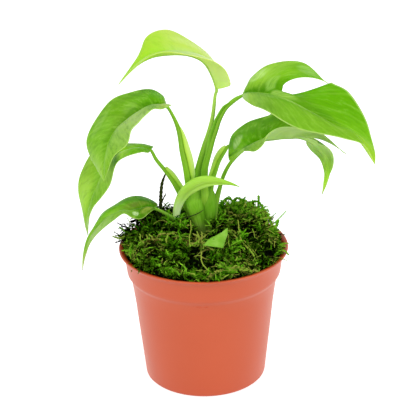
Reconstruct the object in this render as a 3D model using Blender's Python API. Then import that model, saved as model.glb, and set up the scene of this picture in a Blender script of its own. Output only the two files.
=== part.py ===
"""Potted mini monstera in a plastic grower pot: the construction, in metres, +Z up.

The origin is the centre of the pot's flat base. Lengths below are in millimetres, and
mm() turns them into metres. The leaves fan out along X, and -Y is the front.
"""

from math import cos, hypot, pi, sin

import bmesh
import bpy
from mathutils import Matrix, Vector

# ---- Driving dimensions, in millimetres -------------------------------------------------

POT_HEIGHT = 86.7
RIM_RADIUS = 52.5  # outer edge of the lip
BASE_RADIUS = 38.0
BODY_TOP_RADIUS = 45.9
COLLAR_FOOT = 71.0  # height where the collar band starts
COLLAR_FOOT_RADIUS = 48.4
COLLAR_TOP_RADIUS = 50.0
LIP_THICKNESS = 1.5
WALL = 1.2
FLOOR = 1.5
DRAIN_HOLES = 8
DRAIN_RADIUS = 3.2
DRAIN_CIRCLE = 28.0

GAP = 0.3  # clearance between pieces that touch on the real plant
MIX_TOP = 80.0
MOSS_RADIUS = 48.2
MOSS_RIM_HEIGHT = 88.0
MOSS_RISE = 10.0  # how far the moss mounds up above its edge
BLADE_THICKNESS = 0.8

SPIN_STEPS = 48
STALK_SIDES = 8
BLADE_COLUMNS = 8  # cells across a blade, half of them on each side of the midrib
ROWS_PER_STATION = 2


for startup_object in list(bpy.data.objects):
    bpy.data.objects.remove(startup_object)


# ---- Small tools ------------------------------------------------------------------------


def mm(*values):
    """A vector in metres from millimetres."""
    return Vector(values) * 0.001


def material(name, colour, roughness):
    made = bpy.data.materials.new(name)
    made.use_nodes = True
    shader = made.node_tree.nodes["Principled BSDF"]
    shader.inputs["Base Color"].default_value = (*colour, 1.0)
    shader.inputs["Roughness"].default_value = roughness
    shader.inputs["Metallic"].default_value = 0.0
    return made


def object_from(name, bm, finish):
    """Closes off a bmesh as a named object with its own material."""
    mesh = bpy.data.meshes.new(name)
    bm.to_mesh(mesh)
    bm.free()
    mesh.materials.append(finish)
    made = bpy.data.objects.new(name, mesh)
    bpy.context.scene.collection.objects.link(made)
    return made


def cut(obj, name, bm):
    """Cuts the closed bmesh out of the object, as a Boolean with a hidden cutter."""
    cutter = object_from(name, bm, CUTTER)
    cutter.hide_render = True
    cutter.display_type = "WIRE"
    boolean = obj.modifiers.new(name, "BOOLEAN")
    boolean.operation = "DIFFERENCE"
    boolean.solver = "EXACT"
    boolean.object = cutter


def turned(profile):
    """A solid of revolution from (radius, height) points that start and end on the axis."""
    bm = bmesh.new()
    points = [bm.verts.new(mm(radius, 0, height)) for radius, height in profile]
    edges = [bm.edges.new(pair) for pair in zip(points, points[1:])]
    bmesh.ops.spin(
        bm, geom=points + edges, cent=(0, 0, 0), axis=(0, 0, 1),
        angle=2 * pi, steps=SPIN_STEPS, use_merge=True,
    )
    bmesh.ops.remove_doubles(bm, verts=bm.verts, dist=1e-6)
    bmesh.ops.recalc_face_normals(bm, faces=bm.faces)
    return bm


def smooth_path(points, steps):
    """Points along a Catmull-Rom curve through the given vectors, steps to a span."""
    ends = [2 * points[0] - points[1], *points, 2 * points[-1] - points[-2]]
    path = []
    for a, b, c, d in zip(ends, ends[1:], ends[2:], ends[3:]):
        for step in range(steps):
            t = step / steps
            path.append(
                0.5 * (2 * b + (c - a) * t + (2 * a - 5 * b + 4 * c - d) * t**2
                       + (3 * b - a - 3 * c + d) * t**3)
            )
    return [*path, points[-1]]


def lofted(sections, sides=STALK_SIDES, swell=0.0, steps=2):
    """A closed tube through sections of (x, y, z, half width, half depth).

    The width lies in the fan's plane and the depth runs front to back. swell makes every
    section that much larger all round and the ends that much longer, for a cutter.
    """
    centres = smooth_path([mm(*s[:3]) for s in sections], steps)
    centres[0] += (centres[0] - centres[1]).normalized() * swell * 0.001
    centres[-1] += (centres[-1] - centres[-2]).normalized() * swell * 0.001
    halves = smooth_path([Vector((s[3] + swell, s[4] + swell, 0)) for s in sections], steps)
    bm = bmesh.new()
    rings = []
    for i, (centre, half) in enumerate(zip(centres, halves)):
        along = (centres[min(i + 1, len(centres) - 1)] - centres[max(i - 1, 0)]).normalized()
        across = along.cross(Vector((0, 1, 0))).normalized()
        deep = across.cross(along)
        frame = Matrix((across * half.x, deep * half.y, along)).transposed().to_4x4()
        place = Matrix.Translation(centre) @ frame
        ring = bmesh.ops.create_circle(bm, segments=sides, radius=0.001, matrix=place)
        rings.append(ring["verts"])
    loops = [{e for v in ring for e in v.link_edges} for ring in rings]
    for lower, upper in zip(loops, loops[1:]):
        bmesh.ops.bridge_loops(bm, edges=[*lower, *upper])
    for ring in (rings[0], rings[-1]):
        bmesh.ops.contextual_create(bm, geom=ring)
    bmesh.ops.recalc_face_normals(bm, faces=bm.faces)
    return bm


# ---- Finishes ---------------------------------------------------------------------------

TERRACOTTA = material("terracotta_plastic", (0.68, 0.13, 0.055), 0.42)
MIX = material("potting_mix", (0.045, 0.028, 0.018), 0.95)
MOSS = material("sheet_moss", (0.035, 0.095, 0.006), 0.95)
STALK_GREEN = material("stalk_green", (0.18, 0.44, 0.02), 0.4)
LEAF_GREEN = material("leaf_green", (0.17, 0.47, 0.015), 0.36)
YOUNG_GREEN = material("young_leaf_green", (0.36, 0.7, 0.05), 0.4)
TWIG_BROWN = material("dry_twig", (0.05, 0.06, 0.015), 0.85)
CUTTER = material("cutter", (1.0, 0.0, 0.0), 1.0)


# ---- Pot and filling --------------------------------------------------------------------


def make_pot():
    top = POT_HEIGHT
    shoulder_drop = 0.6
    outside = [
        (0, 0),
        (BASE_RADIUS - 1.5, 0),
        (BASE_RADIUS - 0.4, 0.4),
        (BASE_RADIUS, 1.5),
        (BODY_TOP_RADIUS, COLLAR_FOOT - shoulder_drop),
        (COLLAR_FOOT_RADIUS, COLLAR_FOOT),
        (COLLAR_TOP_RADIUS, top - LIP_THICKNESS - 0.4),
        (RIM_RADIUS - 0.3, top - LIP_THICKNESS),
        (RIM_RADIUS, top - LIP_THICKNESS / 2),
        (RIM_RADIUS - 0.4, top),
    ]
    inside = [
        (COLLAR_TOP_RADIUS - WALL + 0.6, top),
        (COLLAR_TOP_RADIUS - WALL, top - LIP_THICKNESS),
        (COLLAR_FOOT_RADIUS - WALL, COLLAR_FOOT + WALL),
        (BODY_TOP_RADIUS - WALL, COLLAR_FOOT - shoulder_drop + WALL),
        (BASE_RADIUS - WALL, FLOOR),
        (0, FLOOR),
    ]
    pot = object_from("pot", turned(outside + inside), TERRACOTTA)
    holes = bmesh.new()
    for index in range(DRAIN_HOLES):
        turn = 2 * pi * (index + 0.5) / DRAIN_HOLES
        place = Matrix.Translation(mm(DRAIN_CIRCLE * cos(turn), DRAIN_CIRCLE * sin(turn), 0))
        bmesh.ops.create_cone(
            holes, cap_ends=True, segments=12, radius1=DRAIN_RADIUS * 0.001,
            radius2=DRAIN_RADIUS * 0.001, depth=4 * FLOOR * 0.001, matrix=place,
        )
    cut(pot, "drain_cutters", holes)
    pot.data.shade_smooth()
    pot.data.set_sharp_from_angle(angle=0.6)


def make_mix():
    """The potting mix follows the pot's inside, a clearance away from it all round."""
    ledge = COLLAR_FOOT + WALL + GAP
    clear = WALL + GAP
    mix = object_from(
        "potting_mix",
        turned([
            (0, FLOOR + GAP),
            (BASE_RADIUS - clear - 0.1, FLOOR + GAP),
            (BODY_TOP_RADIUS - clear - 0.5, COLLAR_FOOT - 2),
            (BODY_TOP_RADIUS - clear - 0.2, ledge),
            (COLLAR_FOOT_RADIUS - clear, ledge + GAP),
            (COLLAR_FOOT_RADIUS - clear + 0.7, MIX_TOP),
            (0, MIX_TOP),
        ]),
        MIX,
    )
    cut(mix, "mix_crown_socket", lofted(CROWN, swell=GAP))
    cut(mix, "mix_shoot_socket", lofted(SIDE_SHOOT, swell=GAP))


def moss_top(x, y):
    """Height of the moss at a place: a mound that falls away gently to the front."""
    reach = min(hypot(x, y) / MOSS_RADIUS, 1.0)
    mound = 1 - reach**6
    if y < 0:
        mound = min(mound, 1 + y / MOSS_RADIUS)
    lumps = 0.6 * sin(0.23 * x + 1.0) * cos(0.19 * y) + 0.4 * sin(0.31 * y + 0.17 * x)
    return MOSS_RIM_HEIGHT + MOSS_RISE * mound + lumps * (1 - reach)


def make_moss():
    """A mat that rests on the mix, fills the collar and mounds up round the stems."""
    foot = MIX_TOP + GAP
    shares = (0.12, 0.3, 0.5, 0.68, 0.84, 0.95, 1.0)
    bm = bmesh.new()
    bmesh.ops.create_circle(
        bm, cap_ends=True, cap_tris=True, segments=SPIN_STEPS // 4 * 3,
        radius=MOSS_RADIUS * shares[0] * 0.001,
    )
    outline = [e for e in bm.edges if e.is_boundary]
    for before, share in zip(shares, shares[1:]):
        grown = bmesh.ops.extrude_edge_only(bm, edges=outline)["geom"]
        ring = [item for item in grown if isinstance(item, bmesh.types.BMVert)]
        outline = [e for e in grown if isinstance(e, bmesh.types.BMEdge) and e.is_boundary]
        bmesh.ops.scale(bm, vec=(share / before, share / before, 1), verts=ring)
    for vert in bm.verts:
        vert.co.z = moss_top(vert.co.x * 1000, vert.co.y * 1000) * 0.001
    grown = bmesh.ops.extrude_edge_only(bm, edges=outline)["geom"]
    for item in grown:
        if isinstance(item, bmesh.types.BMVert):
            item.co.x *= 0.975
            item.co.y *= 0.975
            item.co.z = foot * 0.001
    outline = [e for e in grown if isinstance(e, bmesh.types.BMEdge) and e.is_boundary]
    bmesh.ops.contextual_create(bm, geom=outline)
    bmesh.ops.recalc_face_normals(bm, faces=bm.faces)
    moss = object_from("moss_mat", bm, MOSS)
    cut(moss, "moss_crown_hole", lofted(CROWN, swell=GAP))
    cut(moss, "moss_shoot_hole", lofted(SIDE_SHOOT, swell=GAP))
    cut(moss, "moss_twig_hole", lofted(TWIG, sides=6, swell=GAP))


# ---- Stems, stalks and small pieces -----------------------------------------------------

# Sections of (x, y, z, half width, half depth), bottom to top.
CROWN = [
    (1, 10, 62, 3.5, 3.5),
    (0.5, 10, 78, 5, 4.5),
    (0, 10, 92, 6, 5),
    (0, 10.5, 100, 7.8, 5.5),
    (-0.8, 11, 106, 9.5, 6),
    (-0.8, 11, 110, 11, 6.5),
]
SIDE_SHOOT = [
    (-15, 10, 68, 2, 2),
    (-15.5, 10, 84, 2.6, 2.6),
    (-16.5, 9.5, 95, 3, 2.8),
    (-17, 9, 100, 3.4, 2.8),
]
STALKS = {
    "stalk_top_left": [
        (-2.2, 10, 110.7, 1.8, 1.5), (-3.2, 10, 121, 1.9, 1.5), (-3, 9.5, 132, 1.8, 1.4),
        (-0.5, 9, 142, 1.7, 1.3), (2.5, 8.5, 150, 1.5, 1.2), (5, 8, 158.5, 1.4, 1.2),
        (7, 7, 168.5, 1.3, 1.2), (8, 6, 178.5, 1, 1), (9.3, 5, 186.2, 0.9, 0.9),
    ],
    "stalk_right_split": [
        (1.8, 6.8, 110.6, 1.8, 1.5), (1, 6.2, 122.5, 2, 1.5), (1, 5, 133.5, 2, 1.5),
        (3.2, 4.5, 141.5, 2, 1.5), (6, 4, 151.5, 1.8, 1.4), (8.2, 3.5, 159.5, 1.7, 1.3),
        (11, 2, 170, 1.7, 1.3), (14.5, 0, 177.5, 1.6, 1.3), (19.5, -2, 183, 1.4, 1.2),
        (23.8, -2.9, 185.4, 1.2, 1),
    ],
    "stalk_left_front": [
        (-6.4, 12.4, 110.8, 1.6, 1.4), (-8, 11, 123.5, 2.1, 1.6), (-8.5, 8.5, 133, 2.6, 1.6),
        (-9, 6.5, 142, 2.8, 1.6), (-10.8, 4, 149.5, 2.6, 1.5), (-12.7, 2, 160, 2, 1.3),
        (-15, 0, 168.5, 1.3, 1.1), (-18, -2, 175.5, 1, 1), (-20.2, -2.8, 179.1, 0.9, 0.9),
    ],
    "stalk_left_rear": [
        (-9.8, 14.2, 111, 1.5, 1.5), (-14, 14.5, 119, 2.4, 1.5), (-18.5, 13.5, 126.5, 2.2, 1.3),
        (-23, 12.5, 131.5, 1.6, 1.2), (-27.5, 11.5, 139, 1, 1), (-30.6, 11.2, 145.2, 0.8, 0.8),
    ],
    "stalk_right_rear": [
        (4.2, 14.6, 110.8, 1.5, 1.3), (5.5, 15.5, 120.5, 1.9, 1.3), (7.5, 18, 130, 2.1, 1.3),
        (10.5, 21, 136, 2, 1.2), (14, 24.5, 139.5, 1.4, 1), (17, 27.5, 141.2, 0.9, 0.8),
    ],
    "stalk_right_lobed": [
        (7.4, 9.5, 111, 1.4, 1.4), (10, 7.5, 122, 1.5, 1.4), (13, 5, 130, 1.4, 1.3),
        (16.8, 2.5, 140.5, 1.3, 1.2), (21.5, 0.8, 146.4, 1.1, 1), (23.8, 0.2, 148.2, 0.9, 0.9),
    ],
    "stalk_low_left": [
        (-18.6, 8.2, 101.1, 1.2, 1.1), (-21.5, 6, 104.6, 1.2, 1.1), (-24.5, 4, 107.6, 1, 1),
        (-28.2, 2.3, 110.6, 0.9, 0.9),
    ],
}
YOUNG_LEAF = [
    (-15.5, 9, 101.2, 1.6, 1.6), (-15, 8, 107, 2.2, 2), (-13, 6, 114.5, 3.1, 2.2),
    (-8.5, 3, 121.5, 3.8, 2), (-2, 0, 127.5, 4, 1.8), (4.5, -2, 130.5, 3.4, 1.6),
    (10.5, -3, 130.5, 2.2, 1.3), (17.5, -4, 129, 1, 0.9), (22.5, -5, 127.5, 0.3, 0.4),
]
TWIG = [
    (-27, 15, 90, 0.6, 0.6), (-26, 15.5, 106, 0.8, 0.7), (-25.6, 16, 114, 0.9, 0.8),
    (-24.6, 16, 122, 0.8, 0.7), (-22.4, 16.5, 128.6, 0.5, 0.5),
]
TENDRIL = [
    (-20.6, 5.6, 100.8, 0.4, 0.4), (-15, 4.6, 103.4, 0.4, 0.4), (-9.5, 2.6, 104.6, 0.45, 0.45),
    (-3, 2.6, 107.2, 0.35, 0.35), (0.4, 3.2, 108.8, 0.3, 0.3),
]
FRAGMENT_OUTLINE = [
    (-0.5, -21, 96), (4, -16, 98.5), (11, -10.5, 99.5), (15, -7, 101.5),
    (15, -10.5, 98), (13.5, -15, 96.5), (12, -22, 94.5), (5.5, -22, 95.5),
]


def make_stems():
    object_from("main_crown", lofted(CROWN), STALK_GREEN)
    object_from("side_shoot", lofted(SIDE_SHOOT), STALK_GREEN)
    for name, sections in STALKS.items():
        object_from(name, lofted(sections), STALK_GREEN)
    object_from("young_leaf", lofted(YOUNG_LEAF, sides=10), YOUNG_GREEN)
    object_from("twig_upright", lofted(TWIG, sides=6), TWIG_BROWN)
    object_from("dry_tendril", lofted(TENDRIL, sides=6), TWIG_BROWN)


def make_fragment():
    """A cut piece of leaf that lies on the moss."""
    bm = bmesh.new()
    face = bm.faces.new([bm.verts.new(mm(*point)) for point in FRAGMENT_OUTLINE])
    bmesh.ops.triangulate(bm, faces=[face])
    fragment = object_from("leaf_fragment", bm, LEAF_GREEN)
    thicken(fragment)


# ---- Leaf blades ------------------------------------------------------------------------

# Each blade is a row of stations from the stalk to the tip: a point on the midrib, then
# how far the back margin and the front margin lie from it. A split is a slit from a margin
# towards the midrib: after how many stations, how near to the midrib it starts (0 to 1),
# where its two lips meet the margin, and how far each lip bows out halfway.


class Split:
    def __init__(self, side, station, start, lips, bows):
        self.side, self.station, self.start = side, station, start
        self.lips, self.bows = lips, bows


BLADES = {
    "blade_top_left": [
        ((9.5, 5, 187),),
        ((9, 5, 191.5), (4, 7, -4.5), (5, -5, -2)),
        ((7, 4.5, 197), (8.5, 12.5, -6), (11, -11.5, -2.5)),
        ((4, 4, 203), (5, 15, -4.5), (11, -15, 1)),
        ((-0.5, 3, 207.5), (3, 17, -0.5), (7.5, -16, 3)),
        ((-8.5, 2, 210.5), (2, 18, 3.5), (2.5, -16, 5)),
        ((-18.5, 1, 211), (-1, 18, 9), (0, -16, 6.5)),
        ((-29, 0, 209.5), (-2.5, 14, 8.5), (-0.5, -14, 4.5)),
        ((-38.5, -2, 204.5), (1, 7, 3.5), (-0.5, -6, 1)),
        ((-48.5, -4, 194.5),),
    ],
    "blade_right_split": [
        ((24.5, -3, 186),),
        ((27.5, -4, 188), (-0.5, 8, 1), (-2, -5, -3)),
        ((31.5, -5, 188.5), (-0.5, 17, 4.5), (-1.5, -10, -4.5)),
        ((35.5, -6, 188.5), (7, 22, 10), (-0.5, -13, -5)),
        ((39, -7, 188.5), (23, 24, 10), (1.5, -15, -7.5)),
        ((42.5, -8, 188), (34.5, 22, -1), (4.5, -16, -10.5)),
        ((52, -9, 185), (37, 19, -3), (5, -17, -12)),
        ((65, -11, 178), (33, 14, -9.5), (4, -14, -9)),
        ((78, -13, 170.5), (24, 8, -12.5), (5, -10, -5.5)),
        ((90, -15, 165), (13.5, 3, -13.5), (6, -5, -5.5)),
        ((103, -17, 146),),
    ],
    "blade_left_front": [
        ((-20.5, -3, 180),),
        ((-22.5, -4, 181), (1.5, 7, -0.5), (5, -5, 1.5)),
        ((-26, -5, 181), (3.5, 13, 2), (3.5, -10, 2)),
        ((-31, -6, 180.5), (1, 17, 5), (3.5, -14, 4.5)),
        ((-37, -8, 178.5), (-4.5, 19, 5.5), (5.5, -16, 4)),
        ((-44.5, -10, 174), (-9.5, 19, 6.5), (8.5, -17, 5.5)),
        ((-51, -12, 169), (-12.5, 18, 0), (10, -16, 6)),
        ((-55.5, -14, 162), (-13.5, 15, -4.5), (12, -14, 3.5)),
        ((-57.5, -16, 154.5), (-10, 11, -5.5), (6, -10, 3)),
        ((-58.5, -18, 147), (-4.5, 6, -3.5), (3, -5, 1.5)),
        ((-58.5, -20, 139),),
    ],
    "blade_left_rear": [
        ((-31, 11, 146.5),),
        ((-33.5, 11, 147), (3.5, 6, -0.5), (1, -5, -0.5)),
        ((-37.5, 11, 147.5), (1, 12, -1.5), (0.5, -9, 1.5)),
        ((-44, 11, 147), (-2.5, 15, -2), (0.5, -12, 1.5)),
        ((-50.5, 10, 145), (-7, 17, -1.5), (0.5, -13, 0)),
        ((-57, 9, 139.5), (-11.5, 16, 0.5), (3.5, -14, 0.5)),
        ((-62, 7, 132), (-13.5, 14, -4), (5.5, -13, -1)),
        ((-66, 5, 123), (-11, 11, -4.5), (4.5, -11, -0.5)),
        ((-69, 3, 114), (-6.5, 7, -5), (1.5, -7, 0)),
        ((-71, 1, 104), (-2.5, 3, -3.5), (0, -3, 1)),
        ((-71.5, -1, 95.5),),
    ],
    "blade_low_left": [
        ((-29, 2, 111.5),),
        ((-31, 1, 112.5), (3, 7, -1), (1, -4, 0)),
        ((-35, 0, 113), (3, 13, 0), (1.5, -8, -0.5)),
        ((-39.5, -1, 113), (0.5, 17, 0.5), (1.5, -10, -2.5)),
        ((-44.5, -2, 112), (-2.5, 17, 1), (1, -10, -0.5)),
        ((-50, -3, 111.5), (-4, 15, -0.5), (1.5, -9, 3)),
        ((-57.5, -4, 108.5), (-4.5, 12, -2), (1.5, -7, 0.5)),
        ((-64.5, -6, 102.5), (-3, 9, -4), (1.5, -5, -0.5)),
        ((-70, -8, 94), (-2.5, 5, -2), (1, -3, 0.5)),
        ((-73, -10, 86), (-1.5, 2, -1), (0, -1, 0.5)),
        ((-75, -12, 77),),
    ],
    "blade_right_lobed": [
        ((25, 0, 150),),
        ((26.5, 0, 151.5), (-8.5, 10, -13), (-1, -5, -0.5)),
        ((29.5, 0, 153), (-13.5, 17, -12.5), (-1.5, -10, 0)),
        ((33.5, 0, 155), (-15.5, 23, -5), (-2, -13, -0.5)),
        ((38, 0, 156.5), (-11, 25, 0.5), (-2, -14, 2.5)),
        ((43, 0, 157), (-6, 24, 4), (-3, -15, 9)),
        ((48, 0, 157.5), (2, 22, 7.5), (2, -16, 12.5)),
        ((53, 0, 157.5), (10.5, 19, 7.5), (16, -16, 9.5)),
        ((58.5, 0, 157.5), (10, 17, 2.5), (19.5, -12, -3)),
        ((64, 0, 155.5), (0, 14, -6), (11, -12, 0)),
        ((69.5, 0, 151), (-3.5, 11, -6), (8.5, -12, -0.5)),
        ((74.5, -1, 143.5), (-2, 9, -4), (4, -9, -1)),
        ((76, -2, 135), (-1, 6, -2.5), (1, -5, 0)),
        ((75, -3, 127.5), (-1, 3, -1), (0, -2, -0.5)),
        ((73, -4, 121.5),),
    ],
    "blade_right_rear": [
        ((17.5, 28, 142),),
        ((19.5, 29, 144), (0, 9, -7), (2, -9, -0.5)),
        ((24.5, 31, 147), (-3.5, 15, -8), (3, -15, 1)),
        ((31, 33, 149.5), (-3, 17, -5), (3.5, -19, 2)),
        ((39.5, 35, 152), (-2.5, 17, -3.5), (2.5, -20, 2.5)),
        ((48.5, 36, 153.5), (-0.5, 15, 2.5), (2, -18, 2)),
        ((58.5, 36, 154.5), (2, 11, 4.5), (1.5, -14, 1.5)),
        ((67.5, 35, 154.5), (3.5, 6, 3), (1, -8, 0.5)),
        ((77, 33, 152.5),),
    ],
}
SPLITS = {
    "blade_right_split": Split(
        "back", 5, 0.2, lips=((34.5, 22, -1.5), (36.5, 21, -0.5)), bows=((2.5, 0, 7), (-1, 0, -4))
    ),
    "blade_right_lobed": Split(
        "front", 8, 0.3, lips=((27.5, -14, -5.5), (11.5, -10, 0)), bows=((0, 0, 2.2), (0, 0, 0))
    ),
}


def curve_at(points, t):
    """A Catmull-Rom curve through vectors spaced one apart, read at t."""
    ends = [2 * points[0] - points[1], *points, 2 * points[-1] - points[-2]]
    index = min(int(t), len(points) - 2)
    a, b, c, d = ends[index : index + 4]
    t -= index
    return 0.5 * (2 * b + (c - a) * t + (2 * a - 5 * b + 4 * c - d) * t**2
                  + (3 * b - a - 3 * c + d) * t**3)


class Blade:
    """The upper surface of a blade: at() turns a share across and a station into a place."""

    def __init__(self, stations, split):
        self.last = len(stations) - 1
        self.midrib = [mm(*station[0]) for station in stations]
        offsets = [station[1:] or ((0, 0, 0), (0, 0, 0)) for station in stations]
        self.margins = {
            side: [spine + mm(*offset[i]) for spine, offset in zip(self.midrib, offsets)]
            for i, side in enumerate(("back", "front"))
        }
        self.split = split
        if split:
            spine = self.midrib[split.station]
            self.lips = [spine + mm(*lip) for lip in split.lips]
            margin = self.margins[split.side]
            self.before = [*margin[: split.station], self.lips[0]]
            self.after = [self.lips[1], *margin[split.station + 1 :]]
            margin[split.station] = (self.lips[0] + self.lips[1]) / 2

    def at(self, across, station, past_split):
        """across runs from -1 at the front margin, through the midrib, to 1 at the back."""
        side = "back" if across > 0 else "front"
        share = abs(across)
        spine = curve_at(self.midrib, station)
        reach = curve_at(self.margins[side], station) - spine
        split = self.split
        if not split or split.side != side or share <= split.start:
            return spine + reach * share
        if past_split:
            lip = curve_at(self.after, max(station - split.station, 0))
        else:
            lip = curve_at(self.before, min(station, split.station))
        open_share = (share - split.start) / (1 - split.start)
        blend = open_share**2 * (3 - 2 * open_share)
        near = max(0, 1 - abs(station - split.station) / 2)
        bow = mm(*split.bows[past_split]) * near * sin(pi * open_share**0.75)
        return spine + share * reach.lerp(lip - spine, blend) + bow


def blade_sheet(shape):
    """A grid bent to the blade, with its split cut open and its two ends drawn to points."""
    rows = shape.last * ROWS_PER_STATION
    bm = bmesh.new()
    bmesh.ops.create_grid(bm, x_segments=BLADE_COLUMNS, y_segments=rows, size=1)
    split = shape.split
    if split:
        sign = 1 if split.side == "back" else -1
        slit_row = 2 * split.station / shape.last - 1
        slit = [
            edge for edge in bm.edges
            if all(
                abs(v.co.y - slit_row) < 1e-4 and sign * v.co.x > split.start - 1e-4
                for v in edge.verts
            )
        ]
        bmesh.ops.split_edges(bm, edges=slit)
    places = {}
    for vert in bm.verts:
        station = (vert.co.y + 1) / 2 * shape.last
        faces = vert.link_faces
        middle = sum(face.calc_center_median().y for face in faces) / len(faces)
        past = bool(split) and (middle + 1) / 2 * shape.last > split.station
        places[vert] = shape.at(vert.co.x, station, past)
    for vert, place in places.items():
        vert.co = place
    bmesh.ops.remove_doubles(bm, verts=bm.verts, dist=1e-5)
    return bm


def thicken(obj):
    solidify = obj.modifiers.new("thickness", "SOLIDIFY")
    solidify.thickness = BLADE_THICKNESS * 0.001
    solidify.offset = 0


def make_blades():
    for name, stations in BLADES.items():
        finish = YOUNG_GREEN if name == "blade_top_left" else LEAF_GREEN
        sheet = blade_sheet(Blade(stations, SPLITS.get(name)))
        blade = object_from(name, sheet, finish)
        thicken(blade)
        blade.data.shade_smooth()


# ---- Build ------------------------------------------------------------------------------

make_pot()
make_mix()
make_moss()
make_stems()
make_fragment()
make_blades()
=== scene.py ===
# %% [markdown]
# # A potted mini monstera, piece by piece
#
# A young climbing plant with split leaves stands in a thin plastic nursery pot, with
# sheet moss laid over the soil. The construction model already holds each part at its
# real size and place. This lesson gives every part the shape and finish that it has in
# life: veined leaves, sheathed stalks, a moulded pot and several thousand moss sprigs.

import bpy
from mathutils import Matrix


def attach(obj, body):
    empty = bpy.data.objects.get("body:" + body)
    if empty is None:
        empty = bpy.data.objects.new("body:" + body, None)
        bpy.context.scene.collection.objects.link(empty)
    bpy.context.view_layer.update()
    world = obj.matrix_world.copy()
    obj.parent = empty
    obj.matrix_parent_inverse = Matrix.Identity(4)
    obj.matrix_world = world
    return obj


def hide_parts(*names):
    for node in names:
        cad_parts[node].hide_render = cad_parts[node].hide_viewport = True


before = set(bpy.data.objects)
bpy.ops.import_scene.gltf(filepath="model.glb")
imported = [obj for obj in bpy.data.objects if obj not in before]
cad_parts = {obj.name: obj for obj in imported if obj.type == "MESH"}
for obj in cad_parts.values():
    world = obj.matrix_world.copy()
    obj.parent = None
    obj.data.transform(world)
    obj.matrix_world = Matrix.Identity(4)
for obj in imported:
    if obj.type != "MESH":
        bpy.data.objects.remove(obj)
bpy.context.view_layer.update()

# %% Modules and units
from math import cos, exp, hypot, pi, radians, sin
from random import Random

import bmesh
import bpy
from mathutils import Euler, Matrix, Vector, noise


def mm(*values):
    """A vector in metres from millimetres."""
    return Vector(values) * 0.001


def as_mesh(name, bm):
    """Turns a bmesh into a mesh and frees it."""
    mesh = bpy.data.meshes.new(name)
    bm.to_mesh(mesh)
    bm.free()
    return mesh


def placed(name, data):
    """A new object in the scene, at the origin."""
    made = bpy.data.objects.new(name, data)
    bpy.context.scene.collection.objects.link(made)
    return made


# %% [markdown]
# ## Shaders written as expressions
#
# A finish is easier to read as `streaks * 0.3 + veins` than as a list of links. `Wire`
# stands for one socket and adds a Math node for each operator. `Finish` makes every
# other node, from its type, its settings and the values or wires of its sockets.


# %% Wires
class Wire:
    """A shader socket that can be added, multiplied and compared like a number."""

    def __init__(self, finish, socket):
        self.finish, self.socket = finish, socket

    def maths(self, operation, *values):
        return self.finish.node("Math", {"operation": operation}, dict(enumerate(values)))

    def __add__(self, other):
        return self.maths("ADD", self, other)

    def __radd__(self, other):
        return self.maths("ADD", other, self)

    def __sub__(self, other):
        return self.maths("SUBTRACT", self, other)

    def __rsub__(self, other):
        return self.maths("SUBTRACT", other, self)

    def __mul__(self, other):
        return self.maths("MULTIPLY", self, other)

    def __rmul__(self, other):
        return self.maths("MULTIPLY", other, self)

    def __truediv__(self, other):
        return self.maths("DIVIDE", self, other)

    def __pow__(self, other):
        return self.maths("POWER", self, other)

    def __abs__(self):
        return self.maths("ABSOLUTE", self)

    def step(self, low, high):
        """0 at low, 1 at high and a smooth step between, whichever of them is larger."""
        settings = {"interpolation_type": "SMOOTHSTEP"}
        sockets = {"Value": self, "From Min": low, "From Max": high}
        return self.finish.node("MapRange", settings, sockets)


# %% Finishes
class Finish:
    """A node tree under construction: that of a new material, or of the world."""

    def __init__(self, name, owner=None):
        self.material = owner or bpy.data.materials.new(name)  # what holds the tree
        self.material.use_nodes = True
        self.tree = self.material.node_tree
        self.tree.nodes.clear()

    def node(self, kind, settings=None, sockets=None, output=0):
        made = self.tree.nodes.new("ShaderNode" + kind)
        for key, value in (settings or {}).items():
            if key == "stops":
                for place, colour in value[1:-1]:
                    made.color_ramp.elements.new(place)
                for element, (place, colour) in zip(made.color_ramp.elements, value):
                    element.position, element.color = place, colour
            else:
                setattr(made, key, value)
        for key, value in (sockets or {}).items():
            if isinstance(value, Wire):
                self.tree.links.new(value.socket, made.inputs[key])
            else:
                made.inputs[key].default_value = value
        return Wire(self, made.outputs[output]) if len(made.outputs) else made

    def place(self):
        return self.node("TexCoord", output="Object")

    def pattern(self):
        """The piece's own map, as one wire across and one along."""
        parts = self.node("UVMap", {"uv_map": "pattern"})
        return self.coordinate(parts, 0), self.coordinate(parts, 1)

    def vector(self, x, y):
        return self.node("CombineXYZ", None, {0: x, 1: y})

    def grain(self, where, scale, detail=3.0, roughness=0.55, distortion=0.0):
        sockets = {"Vector": where, "Scale": scale, "Detail": detail}
        return self.node(
            "TexNoise", None, {**sockets, "Roughness": roughness, "Distortion": distortion}
        )

    def larger(self, first, second):
        return self.node("Math", {"operation": "MAXIMUM"}, {0: first, 1: second})

    def coordinate(self, where, axis):
        """One of a vector's three numbers."""
        return self.node("SeparateXYZ", None, {0: where}, axis)

    def mix(self, share, first, second):
        return self.node("Mix", {"data_type": "RGBA"}, {0: share, 6: first, 7: second}, 2)

    def ramp(self, share, *stops):
        return self.node("ValToRGB", {"stops": stops}, {"Fac": share})

    def bump(self, height, distance, strength=1.0):
        sockets = {"Height": height, "Distance": distance, "Strength": strength}
        return self.node("Bump", None, sockets)

    def coat(self, **sockets):
        """The Principled shader, wired to the output."""
        shader = self.node(
            "BsdfPrincipled", None, {key.replace("_", " "): v for key, v in sockets.items()}
        )
        self.node("OutputMaterial", None, {"Surface": shader})
        return self.material


# %% Colours
def paint(code):
    """A linear colour from the hex code of a paint chip."""
    parts = [int(code[i : i + 2], 16) / 255 for i in (0, 2, 4)]
    return (*[p / 12.92 if p < 0.04045 else ((p + 0.055) / 1.055) ** 2.4 for p in parts], 1.0)


def stops(text):
    """Ramp stops from text such as "0 7fb629 100 a9d94b": places in percent and colours."""
    parts = text.split()
    return [(int(place) / 100, paint(code)) for place, code in zip(parts[::2], parts[1::2])]


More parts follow.
